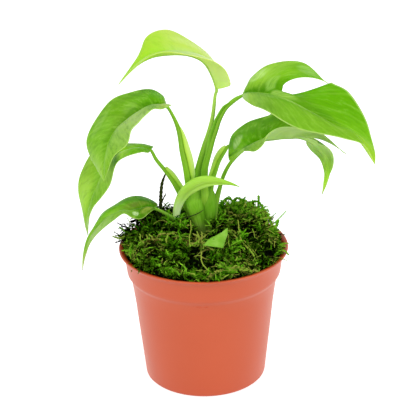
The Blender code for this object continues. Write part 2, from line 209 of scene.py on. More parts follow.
# %% [markdown]
# ## Light, floor and camera
#
# The plant stands on a white sweep under one large soft lamp from the front left and a
# weaker one from the right. The sky is white where it is looked at or mirrored, and
# dimmer as a source of light, so colours render about as they are written. The camera
# looks slightly down, from far enough away for the pot to keep straight sides.

# %% Camera
camera_data = bpy.data.cameras.new("camera")
camera_data.sensor_width, camera_data.lens = 36.0, 133.27
camera_data.clip_start, camera_data.clip_end = 0.05, 20.0
CAMERA_PLACE = mm(0.0, -864.1, 495.7)
# In degrees: a turn aside, the look downwards and a lean about the line of sight.
LOOK_ASIDE, LOOK_DOWN, LEAN = -0.21, 23.957, -0.95
camera = placed("camera", camera_data)
camera.matrix_world = (
    Matrix.Translation(CAMERA_PLACE)
    @ Matrix.Rotation(radians(LOOK_ASIDE), 4, "Z")
    @ Matrix.Rotation(radians(90 - LOOK_DOWN), 4, "X")
    @ Matrix.Rotation(radians(LEAN), 4, "Z")
)
bpy.context.scene.camera = camera
print("camera at", CAMERA_PLACE)


# %% Sky and lamps
def seen(finish):
    """1 for rays that show a surface directly, mirrored or through glass."""
    rays = finish.node("LightPath").socket.node.outputs
    kinds = [Wire(finish, rays[f"Is {kind} Ray"]) for kind in ("Camera", "Glossy", "Transmission")]
    return finish.larger(finish.larger(kinds[0], kinds[1]), kinds[2])


MIDDLE = mm(0, 0, 120)


def soft_lamp(name, place, size, power):
    """A square lamp that faces the middle of the plant."""
    data = bpy.data.lights.new(name, "AREA")
    data.size, data.energy = size, power
    aim = (MIDDLE - Vector(place)).to_track_quat("-Z", "Y")
    placed(name, data).matrix_world = Matrix.Translation(place) @ aim.to_matrix().to_4x4()


def white_sky(level):
    """White to the eye and in mirrors, and level times as strong as a source of light."""
    world = bpy.data.worlds.new("white_sky")
    bpy.context.scene.world = world
    sky = Finish("white_sky", world)
    strength = seen(sky) * (1 - level) + level
    light = sky.node("Background", None, {"Color": (1, 1, 1, 1), "Strength": strength})
    sky.node("OutputWorld", None, {"Surface": light})


white_sky(0.75)
soft_lamp("key_lamp", (-0.9, -1.1, 1.5), 0.7, 11)
soft_lamp("fill_lamp", (1.3, -0.7, 0.9), 0.9, 7)
bpy.context.scene.view_settings.view_transform = "Standard"
print("a white sky and 2 lamps")

# %% Floor
FLOOR_HALF, FLOOR_DROP, FLOOR_GLOW = 4, 0.0003, 0.72
floor_bm = bmesh.new()
bmesh.ops.create_grid(floor_bm, x_segments=1, y_segments=1, size=FLOOR_HALF)
floor = placed("floor", as_mesh("floor", floor_bm))
floor.location.z = -FLOOR_DROP
sweep = Finish("white_sweep")
card = sweep.node("BsdfDiffuse", None, {"Color": (0.8, 0.8, 0.8, 1)})
glow = sweep.node("Emission", None, {"Strength": seen(sweep) * FLOOR_GLOW})
both = sweep.node("AddShader", None, {0: card, 1: glow})
sweep.node("OutputMaterial", None, {"Surface": both})
floor.data.materials.append(sweep.material)
print("a floor", 2 * FLOOR_HALF, "m wide")

# %% [markdown]
# ## Sheets and tubes
#
# Nearly every part of the plant is a bent sheet or a bent tube. Both start as a flat
# grid from one bmesh operator, which keeps its own place as a map named `pattern`, so a
# finish can follow the veins. The grid's points are then moved along smooth curves.


# %% Pieces
def piece(name, bm, finishes, stands_for=(), flat=False):
    """Turns a bmesh into a finished piece that rides on the plant."""
    mesh = as_mesh(name, bm)
    for finish in finishes:
        mesh.materials.append(finish)
    if not flat:
        mesh.shade_smooth()
    made = placed(name, mesh)
    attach(made, "root")
    if stands_for:
        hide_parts(*stands_for)
    print(f"{name}: {sum(len(p.vertices) - 2 for p in mesh.polygons)} triangles")
    return made


# %% Smooth curves
def curve(points, t):
    """A smooth curve through evenly numbered vectors or numbers, read at t."""
    ends = [2 * points[0] - points[1], *points, 2 * points[-1] - points[-2]]
    index = min(max(int(t), 0), len(points) - 2)
    a, b, c, d = ends[index : index + 4]
    t -= index
    return 0.5 * (2 * b + (c - a) * t + (2 * a - 5 * b + 4 * c - d) * t**2
                  + (3 * b - a - 3 * c + d) * t**3)


def smooth_path(points, steps):
    """Steps to each stretch of a smooth curve."""
    count = (len(points) - 1) * steps
    return [curve(points, i / steps) for i in range(count + 1)]


# %% Mapped grids
def patterned():
    """An empty bmesh and its map."""
    bm = bmesh.new()
    return bm, bm.loops.layers.uv.new("pattern")


def grid(columns, rows):
    """A flat grid from -1 to 1 both ways, mapped from 0 to 1."""
    bm, pattern = patterned()
    bmesh.ops.create_grid(bm, x_segments=columns, y_segments=rows, size=1)
    for face in bm.faces:
        for loop in face.loops:
            loop[pattern].uv = (loop.vert.co.x / 2 + 0.5, loop.vert.co.y / 2 + 0.5)
    return bm


def spine_and_halves(sections, steps):
    """Smooth centres, and half widths and depths, from (x, y, z, half width, half depth)."""
    centres = smooth_path([mm(*s[:3]) for s in sections], steps)
    return centres, smooth_path([mm(s[3], s[4], 0) for s in sections], steps)


def heading(centres, i):
    """The direction of a line of centres at one of them."""
    return (centres[min(i + 1, len(centres) - 1)] - centres[max(i - 1, 0)]).normalized()


# %% Tubes
def tube(sections, sides=16, steps=6, outline=None, bm=None):
    """A closed tube through sections of (x, y, z, half width, half depth) in millimetres.

    The width lies in the fan's plane and the depth runs front to back. outline(turn,
    along) gives the radius at a turn in radians as a share of the full one.
    """
    tube_bm = grid(sides, (len(sections) - 1) * steps)
    centres, halves = spine_and_halves(sections, steps)
    last = len(centres) - 1
    for vert in tube_bm.verts:
        i = round((vert.co.y / 2 + 0.5) * last)
        turn = vert.co.x * pi
        along = heading(centres, i)
        across = along.cross(Vector((0, 1, 0))).normalized()
        deep = across.cross(along)
        share = outline(turn, i / last) if outline else 1.0
        offset = across * cos(turn) * halves[i].x + deep * sin(turn) * halves[i].y
        vert.co = centres[i] + offset * share
    bmesh.ops.remove_doubles(tube_bm, verts=tube_bm.verts, dist=1e-6)
    bmesh.ops.holes_fill(tube_bm, edges=tube_bm.edges, sides=0)
    bmesh.ops.recalc_face_normals(tube_bm, faces=tube_bm.faces)
    if bm is None:
        return tube_bm
    join(bm, tube_bm)
    return bm


def join(bm, other, slot=0):
    """Adds another bmesh to bm, in one of its material slots."""
    for face in other.faces:
        face.material_index = slot
    holder = as_mesh("holder", other)
    bm.from_mesh(holder)
    bpy.data.meshes.remove(holder)


# %% [markdown]
# ## The pot
#
# The pot is injection-moulded plastic, a little over a millimetre thick, with a collar
# band and a thin lip. It is a turned shape, so its profile is spun about the axis. The
# drain holes are cut by a Boolean, as the mould would leave them. The plastic is nearly
# one colour: what shows is a satin sheen, faint flow marks and some dust, with painted
# shade on the lip's top and down the inside of the wall.

# %% Pot profile and spin
# Radius and height in millimetres, up the outside and down the inside.
SPIN_STEPS = 144
outside = [
    (0, 0.5), (9, 0.5), (9.5, 0), (36.3, 0), (37.3, 0.35), (37.9, 1.0), (38.1, 2.0),
    (40.0, 20), (42.1, 40), (43.1, 50), (44.4, 60), (45.5, 67.2), (45.9, 68.2), (47.2, 70),
    (47.8, 71), (48, 72.4), (48.6, 77), (49.3, 82.4), (49.8, 83.9), (50.8, 84.9),
    (51.9, 85.4), (52.4, 85.8), (52.5, 86.2), (52.3, 86.6), (51.8, 86.75),
]
inside = [
    (50.6, 86.5), (49.4, 85.9), (48.7, 85.0), (48.1, 82), (46.8, 73.0), (46.4, 71.4),
    (44.9, 69.6), (44.4, 68.6), (43.2, 60), (36.9, 3.2), (36.2, 1.9), (34.9, 1.5), (0, 1.5),
]


def turned(profile):
    """A solid of revolution from (radius, height) points that start and end on the axis."""
    bm = bmesh.new()
    points = [bm.verts.new(mm(radius, 0, height)) for radius, height in profile]
    edges = [bm.edges.new(pair) for pair in zip(points, points[1:])]
    bmesh.ops.spin(
        bm, geom=points + edges, cent=(0, 0, 0), axis=(0, 0, 1),
        angle=2 * pi, steps=SPIN_STEPS, use_merge=True,
    )
    bmesh.ops.remove_doubles(bm, verts=bm.verts, dist=1e-6)
    bmesh.ops.recalc_face_normals(bm, faces=bm.faces)
    return bm


# %% Pot plastic
# Where the painted shade of the inner side begins, as radii and heights in metres: on top
# of the lip, and down the wall.
LIP_RADIUS, LIP_HEIGHT = (0.0519, 0.0516), (0.0852, 0.0858)
WALL_RADIUS, WALL_HEIGHT = (0.0492, 0.049), (0.083, 0.084)


def pot_plastic():
    plastic = Finish("terracotta_plastic")
    place = plastic.place()
    height = plastic.coordinate(place, 2)
    flat = plastic.node("VectorMath", {"operation": "MULTIPLY"}, {0: place, 1: (1, 1, 0)})
    radius = plastic.node("VectorMath", {"operation": "LENGTH"}, {0: flat}, 1)
    cloud = plastic.grain(place, 28, detail=2)
    dust = plastic.grain(place, 900, detail=2)
    lip = radius.step(*LIP_RADIUS) * height.step(*LIP_HEIGHT)
    shaded_inside = plastic.larger(lip, height.step(*WALL_HEIGHT) * radius.step(*WALL_RADIUS))
    colour = plastic.mix(cloud, paint("cc5428"), paint("d25c34"))
    # The lip's top and the inside of the wall turn a darker orange: painted shade.
    colour = plastic.mix(shaded_inside, colour, paint("b4400f"))
    colour = plastic.mix(dust.step(0.68, 0.76) * shaded_inside * 0.7, colour, paint("3c2c10"))
    colour = plastic.mix(dust.step(0.7, 0.78) * 0.2, colour, paint("a84a2c"))
    fine = plastic.grain(place, 2600, detail=2)
    return plastic.coat(
        Base_Color=colour,
        Roughness=cloud * 0.1 + 0.34,
        Normal=plastic.bump(fine * 0.3 + cloud, 0.0002, 0.35),
        Specular_IOR_Level=0.45,
    )


# %% Pot piece and its drain holes
PLASTIC = pot_plastic()
pot = piece("moulded_pot", turned(outside + inside), [PLASTIC], ["pot"])
DRAINS, DRAIN_CIRCLE, DRAIN_RADIUS, CUT_DEPTH = 8, 28, 0.0032, 0.006
cutter_bm = bmesh.new()
for index in range(DRAINS):
    turn = 2 * pi * (index + 0.5) / DRAINS
    bmesh.ops.create_cone(
        cutter_bm, cap_ends=True, segments=32, radius1=DRAIN_RADIUS, radius2=DRAIN_RADIUS,
        depth=CUT_DEPTH,
        matrix=Matrix.Translation(mm(DRAIN_CIRCLE * cos(turn), DRAIN_CIRCLE * sin(turn), 0)),
    )
cutter = placed("drain_cutters", as_mesh("drain_cutters", cutter_bm))
drains = pot.modifiers.new("drains", "BOOLEAN")
drains.object, drains.operation, drains.solver = cutter, "DIFFERENCE", "EXACT"
with bpy.context.temp_override(object=pot, active_object=pot):
    bpy.ops.object.modifier_apply(modifier="drains")
bpy.data.objects.remove(cutter)
pot.data.shade_smooth()
pot.data.set_sharp_from_angle(angle=radians(40))
print(DRAINS, "drain holes")

# %% Moulding dots under the collar
# Turns from the front in radians, and the dots' ring, height and radius.
DOT_TURNS = (-0.09, -0.055, 0.0, 0.035)
DOT_RING, DOT_HEIGHT, DOT_RADIUS = 45.45, 66.6, 0.0004
dots = bmesh.new()
for offset in DOT_TURNS:
    turn = -pi / 2 + offset
    dot = Matrix.Translation(mm(DOT_RING * cos(turn), DOT_RING * sin(turn), DOT_HEIGHT))
    bmesh.ops.create_icosphere(dots, subdivisions=2, radius=DOT_RADIUS, matrix=dot)
piece("moulding_dots", dots, [PLASTIC])

# %% [markdown]
# ## Potting mix
#
# Only the drain holes show the mix, so its construction solid stays and gets a dark,
# crumbly finish.


# %% Mix finish
def crumbs():
    mix = Finish("potting_mix")
    place = mix.place()
    lumps = mix.grain(place, 260, detail=6, roughness=0.7)
    bits = mix.grain(place, 700, detail=2).step(0.62, 0.7)
    colour = mix.ramp(lumps, *stops("30 140c07 60 3a2818 80 5a4029"))
    colour = mix.mix(bits * 0.6, colour, paint("8a6b48"))
    return mix.coat(Base_Color=colour, Roughness=0.95, Normal=mix.bump(lumps, 0.002))


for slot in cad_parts["potting_mix"].material_slots:
    slot.material = crumbs()

# %% [markdown]
# ## Leaf blades
#
# A blade is a midrib with a margin on each side. Stations from the stalk to the tip give
# a point on the midrib and how far the back and the front margin lie from it. A grid is
# bent to these curves and then gets its relief: a crease at the midrib, halves that
# puff up between midrib and margin, quilting between the veins, and a wavy edge. Where a
# leaf is split, the grid is slit from the margin inwards and its two lips move apart.


# %% Relief and splits
# The side veins on each half, how far they sweep towards the tip and how they bend.
VEINS, VEIN_SWEEP, VEIN_BEND = 8, 1.1, 0.8
# Relief in millimetres, the crease's width as a share of half the blade, and the waves
# along a margin, which the back's margin takes BACK_WAVE radians earlier.
PUFF, CREASE, QUILT, WAVE = 1.5, 0.5, 0.14, 0.5
CREASE_WIDTH, WAVES, BACK_WAVE = 0.06, 3.0, 1.3
# The step that slopes are measured over, in stations and in shares of half the blade.
SLOPE_STEP = 0.02


class Split:
    """A slit from a margin: the station it follows, how near to the midrib it starts (0 to
    1), where its two lips meet the margin, and how each lip bows: how high, and two powers
    that say how steeply it opens at the inner end and closes at the margin."""

    def __init__(self, side, station, start, lips, bows):
        self.side, self.station, self.start = side, station, start
        self.lips, self.bows = lips, bows


# %% Blade shape
class Leaf:
    """A blade's stations, in millimetres, and its split."""

    def __init__(self, stations, split=None):
        self.split, self.last = split, len(stations) - 1
        self.midrib = [mm(*station[0]) for station in stations]
        offsets = [station[1:] or ((0, 0, 0), (0, 0, 0)) for station in stations]
        self.margins = {
            side: [spine + mm(*offset[i]) for spine, offset in zip(self.midrib, offsets)]
            for i, side in enumerate(("back", "front"))
        }
        # Along the blade and across it give a normal that points up on a leaf towards +X.
        self.up = 1 if self.midrib[-1].x > self.midrib[0].x else -1
        if split:
            spine = self.midrib[split.station]
            lips = [spine + mm(*lip) for lip in split.lips]
            margin = self.margins[split.side]
            self.before = [*margin[: split.station], lips[0]]
            self.after = [lips[1], *margin[split.station + 1 :]]
            margin[split.station] = (lips[0] + lips[1]) / 2

    def flat(self, across, station, past):
        """The blade without relief. across is -1 at the front margin and 1 at the back."""
        side = "back" if across > 0 else "front"
        share = abs(across)
        spine = curve(self.midrib, station)
        reach = curve(self.margins[side], station) - spine
        split = self.split
        if not split or split.side != side or share <= split.start:
            return spine + reach * share
        if past:
            lip = curve(self.after, max(station - split.station, 0))
        else:
            lip = curve(self.before, min(station, split.station))
        # From the slit's inner end outwards, the blade turns smoothly into its lip. Near the
        # slit the lip bows up or down, with its peak where the two powers put it.
        opened = (share - split.start) / (1 - split.start)
        blend = opened**2 * (3 - 2 * opened)
        near = max(0, 1 - abs(station - split.station) / 2)
        rise, steep, fade = split.bows[past]
        peak = steep / (steep + fade)
        shape = (opened / peak) ** steep * ((1 - opened) / (1 - peak)) ** fade
        return spine + share * reach.lerp(lip - spine, blend) + mm(0, 0, rise) * near * shape

    def at(self, across, station, past=False):
        """The blade with its relief."""
        here = self.flat(across, station, past)
        step = SLOPE_STEP if station < self.last - SLOPE_STEP else -SLOPE_STEP
        along = (self.flat(across, station + step, past) - here) / step
        inward = -SLOPE_STEP if across > 0 else SLOPE_STEP
        over = (self.flat(across + inward, station, past) - here) / inward
        normal = along.cross(over)
        if normal.length < 1e-12:  # the blade's pointed ends
            return here
        side, way = abs(across), station / self.last
        ends = min(1.0, 5 * way, 4 * (1 - way))  # relief starts and ends at nothing
        puff = PUFF * sin(pi * side**0.8)
        crease = -CREASE * exp(-((side / CREASE_WIDTH) ** 2))
        vein = way * VEINS - VEIN_SWEEP * side**VEIN_BEND
        quilt = QUILT * abs(sin(pi * vein)) * min(1.0, side * 5) * (1 - side**4)
        wave = WAVE * side**3 * sin(2 * pi * way * WAVES + (BACK_WAVE if across > 0 else 0))
        lift = (puff + quilt + wave) * ends + crease * min(1.0, 8 * (1 - way))
        return here + normal.normalized() * (self.up * lift * 0.001)


# %% Blade sheet
HALF_COLUMNS, ROWS_PER_STATION = 40, 10
# How far a grid point may be from the slit's line and still be on it.
ON_LINE = 1e-4


def blade_sheet(leaf):
    """A grid bent to the blade, with its split cut open."""
    rows = leaf.last * ROWS_PER_STATION
    bm = grid(2 * HALF_COLUMNS, rows)
    split = leaf.split
    if split:
        sign = 1 if split.side == "back" else -1
        slit_row = 2 * split.station / leaf.last - 1
        slit = [
            edge for edge in bm.edges
            if all(
                abs(v.co.y - slit_row) < ON_LINE and sign * v.co.x > split.start - ON_LINE
                for v in edge.verts
            )
        ]
        bmesh.ops.split_edges(bm, edges=slit)
    # The slit's two lips lie in one place on the flat grid, so the faces beside a point say
    # which lip it is on. All places are worked out before any point is moved.
    places = {}
    for vert in bm.verts:
        station = (vert.co.y + 1) / 2 * leaf.last
        middle = sum(face.calc_center_median().y for face in vert.link_faces)
        middle /= len(vert.link_faces)
        past = bool(split) and (middle + 1) / 2 * leaf.last > split.station
        places[vert] = leaf.at(vert.co.x, station, past)
    for vert, place in places.items():
        vert.co = place
    bmesh.ops.remove_doubles(bm, verts=bm.verts, dist=1e-5)
    if leaf.up > 0:
        bmesh.ops.reverse_faces(bm, faces=bm.faces)
    return bm


# %% [markdown]
# ## Leaf finishes
#
# The upper side is glossy and the underside is paler and duller. The colour runs from
# the base to the tip, the front half differs a little from the back half, and both carry
# a light midrib, side veins that sweep towards the tip, and fine streaks between them.
# Some light streaks and marks, and parts of some ramps, are painted sheen, and some dark
# marks are painted shade in the creases.


# %% Leaf finish
GREEN_SHINE = {"Specular_Tint": (0.7, 1.0, 0.3, 1.0)}
GLOW = {
    "Subsurface_Weight": 0.2, "Subsurface_Radius": (0.8, 1.0, 0.15), "Subsurface_Scale": 0.001,
    **GREEN_SHINE,
}
THIN_GLOW = {**GLOW, "Subsurface_Weight": 0.4, "Subsurface_Radius": (0.95, 1.0, 0.2)}


def veined(leaf):
    """The wires that both sides of a leaf use: the map across and along, the place in
    space, the share of the way out from the midrib, the vein's number and the way to it."""
    across, along = leaf.pattern()
    place = leaf.place()
    side = abs(across * 2 - 1)
    vein = along * VEINS - side**VEIN_BEND * VEIN_SWEEP + leaf.grain(place, 60, detail=1) * 0.25
    return across, along, place, side, vein, abs(vein - vein.maths("ROUND", vein))


def leaf_finish(name, rib, back, front, edge, marks=(), streaks=0.3, gloss=0.14):
    """The upper side: colours from base to tip at the midrib and on each half. edge is the
    margin, and a mark is (across, along, width, length, colour, strength). Marks carry
    painted sheen, painted shade and real blotches, as noted with each leaf's paints."""
    leaf = Finish(name)
    across, along, place, side, vein, near = veined(leaf)
    cloud = leaf.grain(place, 55, detail=3)
    drift = along + (cloud - 0.5) * 0.12
    line = near.step(0.12, 0.0) * side.step(0.0, 0.2)
    fine = leaf.grain(leaf.vector(vein * 1.8, side * 1.6), 2.2, detail=5, roughness=0.65)
    halves = leaf.mix(
        across.step(0.55, 0.45), leaf.ramp(drift, *stops(back)), leaf.ramp(drift, *stops(front))
    )
    colour = leaf.mix(
        (side + (fine - 0.5) * 0.2).step(0.4, 0.02), halves, leaf.ramp(drift, *stops(rib))
    )
    dash = leaf.grain(leaf.vector(vein * 4.5, side * 1.6), 2.2, detail=3).step(0.38, 0.6)
    # Each mark is a soft, streaky patch of one colour: painted sheen, painted shade or a blotch.
    for at_across, at_along, wide, long, tint, strength in marks:
        off_across, off_along = (across - at_across) / wide, (along - at_along) / long
        spot = off_across * off_across + off_along * off_along + (fine - 0.5) * 1.6
        share = spot.step(1.4, 0.2) * (dash * 0.6 + 0.4) * strength
        colour = leaf.mix(share, colour, paint(tint))
    # The light streaks are partly painted sheen along the veins; the dark ones are streaks in the
    # leaf.
    colour = leaf.mix(fine.step(0.5, 0.68) * streaks, colour, paint("acdc58"))
    colour = leaf.mix(fine.step(0.5, 0.34) * streaks, colour, paint("4a8408"))
    colour = leaf.mix(line * 0.12, colour, paint("b0dc54"))
    colour = leaf.mix(side.step(0.955, 0.995) * 0.7, colour, paint(edge))
    cells = leaf.grain(place, 1500, detail=2)
    relief = fine * 0.35 - line * 0.5 + cells * 0.2
    return leaf.coat(
        Base_Color=colour,
        Roughness=cloud * 0.16 + 0.3,
        Normal=leaf.bump(relief, 0.0002, 0.6),
        Specular_IOR_Level=gloss,
        **GLOW,
    )


# %% Underside finish
def underside_finish(name, tones):
    leaf = Finish(name)
    _, along, place, _, _, near = veined(leaf)
    line = near.step(0.1, 0.0)
    cloud = leaf.grain(place, 50, detail=4)
    shade = leaf.ramp(along + (cloud - 0.5) * 0.1, *stops(tones))
    shade = leaf.mix(cloud.step(0.5, 0.7) * 0.3, shade, paint("e8ffa4"))
    shade = leaf.mix(line * 0.2, shade, paint("dcfc90"))
    relief = line * 0.6 + leaf.grain(place, 1700, detail=2) * 0.3
    return leaf.coat(
        Base_Color=shade,
        Roughness=cloud * 0.1 + 0.5,
        Normal=leaf.bump(relief, 0.0002, 0.6),
        Specular_IOR_Level=0.08,
        **THIN_GLOW,
    )


# %% [markdown]
# ## The seven leaves
#
# Each table row is one station from the stalk to the tip: the midrib, then the offsets
# of the back and the front margin. The youngest leaf, at the top left, is the palest.

# %% Three upper leaves
LEAVES = {
    "top_left": Leaf([
        ((9.5, 5, 187),),
        ((9, 5, 191.5), (4, 7, -4.5), (5, -5, -2)),
        ((7, 4.5, 197), (8.5, 12.5, -6), (11, -11.5, -2.5)),
        ((4, 4, 203), (5, 15, -4.5), (11, -15, 1)),
        ((-0.5, 3, 207.5), (3, 17, -0.5), (7.5, -16, 3)),
        ((-8.5, 2, 210.5), (2, 18, 3.5), (2.5, -16, 5)),
        ((-18.5, 1, 211), (-1, 18, 9), (0, -16, 6.5)),
        ((-29, 0, 209.5), (-2.5, 14, 8.5), (-0.5, -14, 4.5)),
        ((-38.5, -2, 204.5), (1, 7, 3.5), (-0.5, -6, 1)),
        ((-48.5, -4, 194.5),),
    ]),
    "right_split": Leaf([
        ((24.5, -3, 186),),
        ((27.5, -4, 188), (-0.5, 8, 1), (-2, -5, -3)),
        ((31.5, -5, 188.5), (-0.5, 17, 4.5), (-1.5, -10, -4.5)),
        ((35.5, -6, 188.5), (7, 22, 10), (-0.5, -13, -5)),
        ((39, -7, 188.5), (23, 24, 10), (1.5, -15, -7.5)),
        ((42.5, -8, 188), (34.5, 22, -1), (4.5, -16, -10.5)),
        ((52, -9, 185), (37, 19, -3), (5, -17, -12)),
        ((65, -11, 178), (33, 14, -9.5), (4, -14, -9)),
        ((78, -13, 170.5), (24, 8, -12.5), (5, -10, -5.5)),
        ((90, -15, 165), (13.5, 3, -13.5), (6, -5, -5.5)),
        ((103, -17, 146),),
    ], split=Split(
        "back", 5, 0.15, lips=((34.5, 22, -1.5), (36.5, 21, -0.5)),
        bows=((6.6, 0.3, 0.75), (-4.0, 0.4, 1.2)),
    )),
    "left_front": Leaf([
        ((-20.5, -3, 180),),
        ((-22.5, -4, 181), (1.5, 7, -0.5), (5, -5, 1.5)),
        ((-26, -5, 181), (3.5, 13, 2), (3.5, -10, 2)),
        ((-31, -6, 180.5), (1, 17, 5), (3.5, -14, 4.5)),
        ((-37, -8, 178.5), (-4.5, 19, 5.5), (5.5, -16, 4)),
        ((-44.5, -10, 174), (-9.5, 19, 6.5), (8.5, -17, 5.5)),
        ((-51, -12, 169), (-12.5, 18, 0), (10, -16, 6)),
        ((-55.5, -14, 162), (-13.5, 15, -4.5), (12, -14, 3.5)),
        ((-57.5, -16, 154.5), (-10, 11, -5.5), (6, -10, 3)),
        ((-58.5, -18, 147), (-4.5, 6, -3.5), (3, -5, 1.5)),
        ((-58.5, -20, 139),),
    ]),
}

# %% Four lower leaves
LEAVES |= {
    "left_rear": Leaf([
        ((-31, 11, 146.5),),
        ((-33.5, 11, 147), (3.5, 6, -0.5), (1, -5, -0.5)),
        ((-37.5, 11, 147.5), (1, 12, -1.5), (0.5, -9, 1.5)),
        ((-44, 11, 147), (-2.5, 15, -2), (0.5, -12, 1.5)),
        ((-50.5, 10, 145), (-7, 17, -1.5), (0.5, -13, 0)),
        ((-57, 9, 139.5), (-11.5, 16, 0.5), (3.5, -14, 0.5)),
        ((-62, 7, 132), (-13.5, 14, -4), (5.5, -13, -1)),
        ((-66, 5, 123), (-11, 11, -4.5), (4.5, -11, -0.5)),
        ((-69, 3, 114), (-6.5, 7, -5), (1.5, -7, 0)),
        ((-71, 1, 104), (-2.5, 3, -3.5), (0, -3, 1)),
        ((-71.5, -1, 95.5),),
    ]),
    "low_left": Leaf([
        ((-29, 2, 111.5),),
        ((-31, 1, 112.5), (3, 7, -1), (1, -4, 0)),
        ((-35, 0, 113), (3, 13, 0), (1.5, -8, -0.5)),
        ((-39.5, -1, 113), (0.5, 17, 0.5), (1.5, -10, -2.5)),
        ((-44.5, -2, 112), (-2.5, 17, 1), (1, -10, -0.5)),
        ((-50, -3, 111.5), (-4, 15, -0.5), (1.5, -9, 3)),
        ((-57.5, -4, 108.5), (-4.5, 12, -2), (1.5, -7, 0.5)),
        ((-64.5, -6, 102.5), (-3, 9, -4), (1.5, -5, -0.5)),
        ((-70, -8, 94), (-2.5, 5, -2), (1, -3, 0.5)),
        ((-73, -10, 86), (-1.5, 2, -1), (0, -1, 0.5)),
        ((-75, -12, 77),),
    ]),
    "right_lobed": Leaf([
        ((25, 0, 150),),
        ((26.5, 0, 151.5), (-8.5, 10, -13), (-1, -5, -0.5)),
        ((29.5, 0, 153), (-13.5, 17, -12.5), (-1.5, -10, 0)),
        ((33.5, 0, 155), (-15.5, 23, -5), (-2, -13, -0.5)),
        ((38, 0, 156.5), (-11, 25, 0.5), (-2, -14, 2.5)),
        ((43, 0, 157), (-6, 24, 4), (-3, -15, 9)),
        ((48, 0, 157.5), (2, 22, 7.5), (2, -16, 12.5)),
        ((53, 0, 157.5), (10.5, 19, 7.5), (16, -16, 9.5)),
        ((58.5, 0, 157.5), (10, 17, 2.5), (19.5, -12, -3)),
        ((64, 0, 155.5), (0, 14, -6), (11, -12, 0)),
        ((69.5, 0, 151), (-3.5, 11, -6), (8.5, -12, -0.5)),
        ((74.5, -1, 143.5), (-2, 9, -4), (4, -9, -1)),
        ((76, -2, 135), (-1, 6, -2.5), (1, -5, 0)),
        ((75, -3, 127.5), (-1, 3, -1), (0, -2, -0.5)),
        ((73, -4, 121.5),),
    ], split=Split(
        "front", 8, 0.3, lips=((27.5, -14, -5.5), (11.5, -10, 0)),
        bows=((2.2, 1.0, 1.0), (0, 1.0, 1.0)),
    )),
    "right_rear": Leaf([
        ((17.5, 28, 142),),
        ((19.5, 29, 144), (0, 9, -7), (2, -9, -0.5)),
        ((24.5, 31, 147), (-3.5, 15, -8), (3, -15, 1)),
        ((31, 33, 149.5), (-3, 17, -5), (3.5, -19, 2)),
        ((39.5, 35, 152), (-2.5, 17, -3.5), (2.5, -20, 2.5)),
        ((48.5, 36, 153.5), (-0.5, 15, 2.5), (2, -18, 2)),
        ((58.5, 36, 154.5), (2, 11, 4.5), (1.5, -14, 1.5)),
        ((67.5, 35, 154.5), (3.5, 6, 3), (1, -8, 0.5)),
        ((77, 33, 152.5),),
    ]),
}
print("stations:", {name: leaf.last + 1 for name, leaf in LEAVES.items()})


# %% Colours of the upper leaves
# Places in percent from base to tip, with the colour of the midrib, back and front there.
# Where a ramp or a mark is painted sheen or painted shade, a note at the leaf says so.
LEAF_PAINTS = {
    "top_left": {
        "rib": "0 98cc3a 30 a3d144 55 bfe07a 75 aee03a 100 a4dc28",
        "back": "0 b5d680 15 c6e86c 45 cce66c 55 bfdf54 68 bcdc58 80 acd82c 100 8ccc14",
        "front": "0 b5d680 15 c6e86c 40 cfec7c 52 c2e080 60 b0d868 80 b0e03c 100 a8d834",
        "edge": "e2f4ac", "streaks": 0.1,
        "marks": ((0.8, 0.45, 0.12, 0.22, "d3ee8c", 0.6), (0.72, 0.85, 0.3, 0.2, "a6dc34", 0.7)),
        "under": "0 ccf070 14 d4fa84 26 deff8c 37 dcff80 60 d4f06c 72 c0ec54 100 b8e848",
    },
    # right_split: the pale marks are painted sheen, and the dark green marks at 0.62 and 0.57
    # across are painted shade in the valley by the midrib.
    "right_split": {
        "rib": "0 9dc168 8 4a8c06 30 468404 52 569a08 74 66a01a 86 70b00e 100 84c418",
        "back": "0 90b860 10 7cb420 31 96ca38 38 82be20 52 64ae06 68 62aa04 84 78bc0e 100 b0dc3c",
        "front": "0 bcd890 10 a8cb78 17 92be4a 27 7cac3e 38 6ea22a 58 76b024 86 7ab222 100 9cd038",
        "edge": "c8e884", "streaks": 0.24, "gloss": 0.06,
        "marks": (
            (0.84, 0.24, 0.12, 0.07, "c4ec84", 0.8), (0.9, 0.45, 0.08, 0.04, "c0e890", 0.3),
            (0.6, 0.38, 0.08, 0.05, "a4d460", 0.6), (0.62, 0.56, 0.1, 0.08, "5f9c14", 0.5),
            (0.42, 0.38, 0.06, 0.16, "acd470", 0.3), (0.46, 0.64, 0.04, 0.15, "a8d468", 0.75),
            (0.53, 0.53, 0.045, 0.09, "a8d060", 0.75), (0.57, 0.74, 0.05, 0.06, "4f9408", 0.7),
        ),
        "under": "0 a8dc5c 60 b4e468 100 c4f060",
    },
    # left_front: the grey-green of the front ramp from 37 to 47 percent and the pale marks at 0.4,
    # 0.64 and 0.84 across are painted sheen. The dark green marks at 0.56 and 0.53 are painted
    # shade along the midrib's crease, and the brown mark at 0.78 is a blotch.
    "left_front": {
        "rib": "0 bfe07d 12 5c9410 20 4a8c02 30 64981e 57 76a82a 68 6cac1c 90 90c63c 100 90c630",
        "back": "0 95ac4a 8 78a81c 17 6cb008 27 62aa02 50 6eaa16 70 74b41a 90 9ccc4c 100 a0d248",
        "front": "0 c8e0a3 17 a4c058 30 6ca228 37 90b850 47 a2c26c 64 8ebc4e 85 83bc2a 100 86c034",
        "edge": "c4e67c", "streaks": 0.38, "gloss": 0.07,
        "marks": (
            (0.4, 0.42, 0.09, 0.13, "b4d488", 0.7), (0.64, 0.44, 0.1, 0.05, "a4cc64", 0.3),
            (0.84, 0.62, 0.08, 0.08, "a8d468", 0.35), (0.66, 0.62, 0.1, 0.08, "74b020", 0.4),
            (0.56, 0.36, 0.05, 0.12, "4a8c06", 0.7), (0.53, 0.55, 0.04, 0.1, "56940c", 0.5),
            (0.78, 0.12, 0.05, 0.03, "8a7a44", 0.5), (0.66, 0.66, 0.12, 0.12, "8cc840", 0.5),
        ),
        "under": "0 a0d454 60 acdc64 100 b8e464",
    },
}

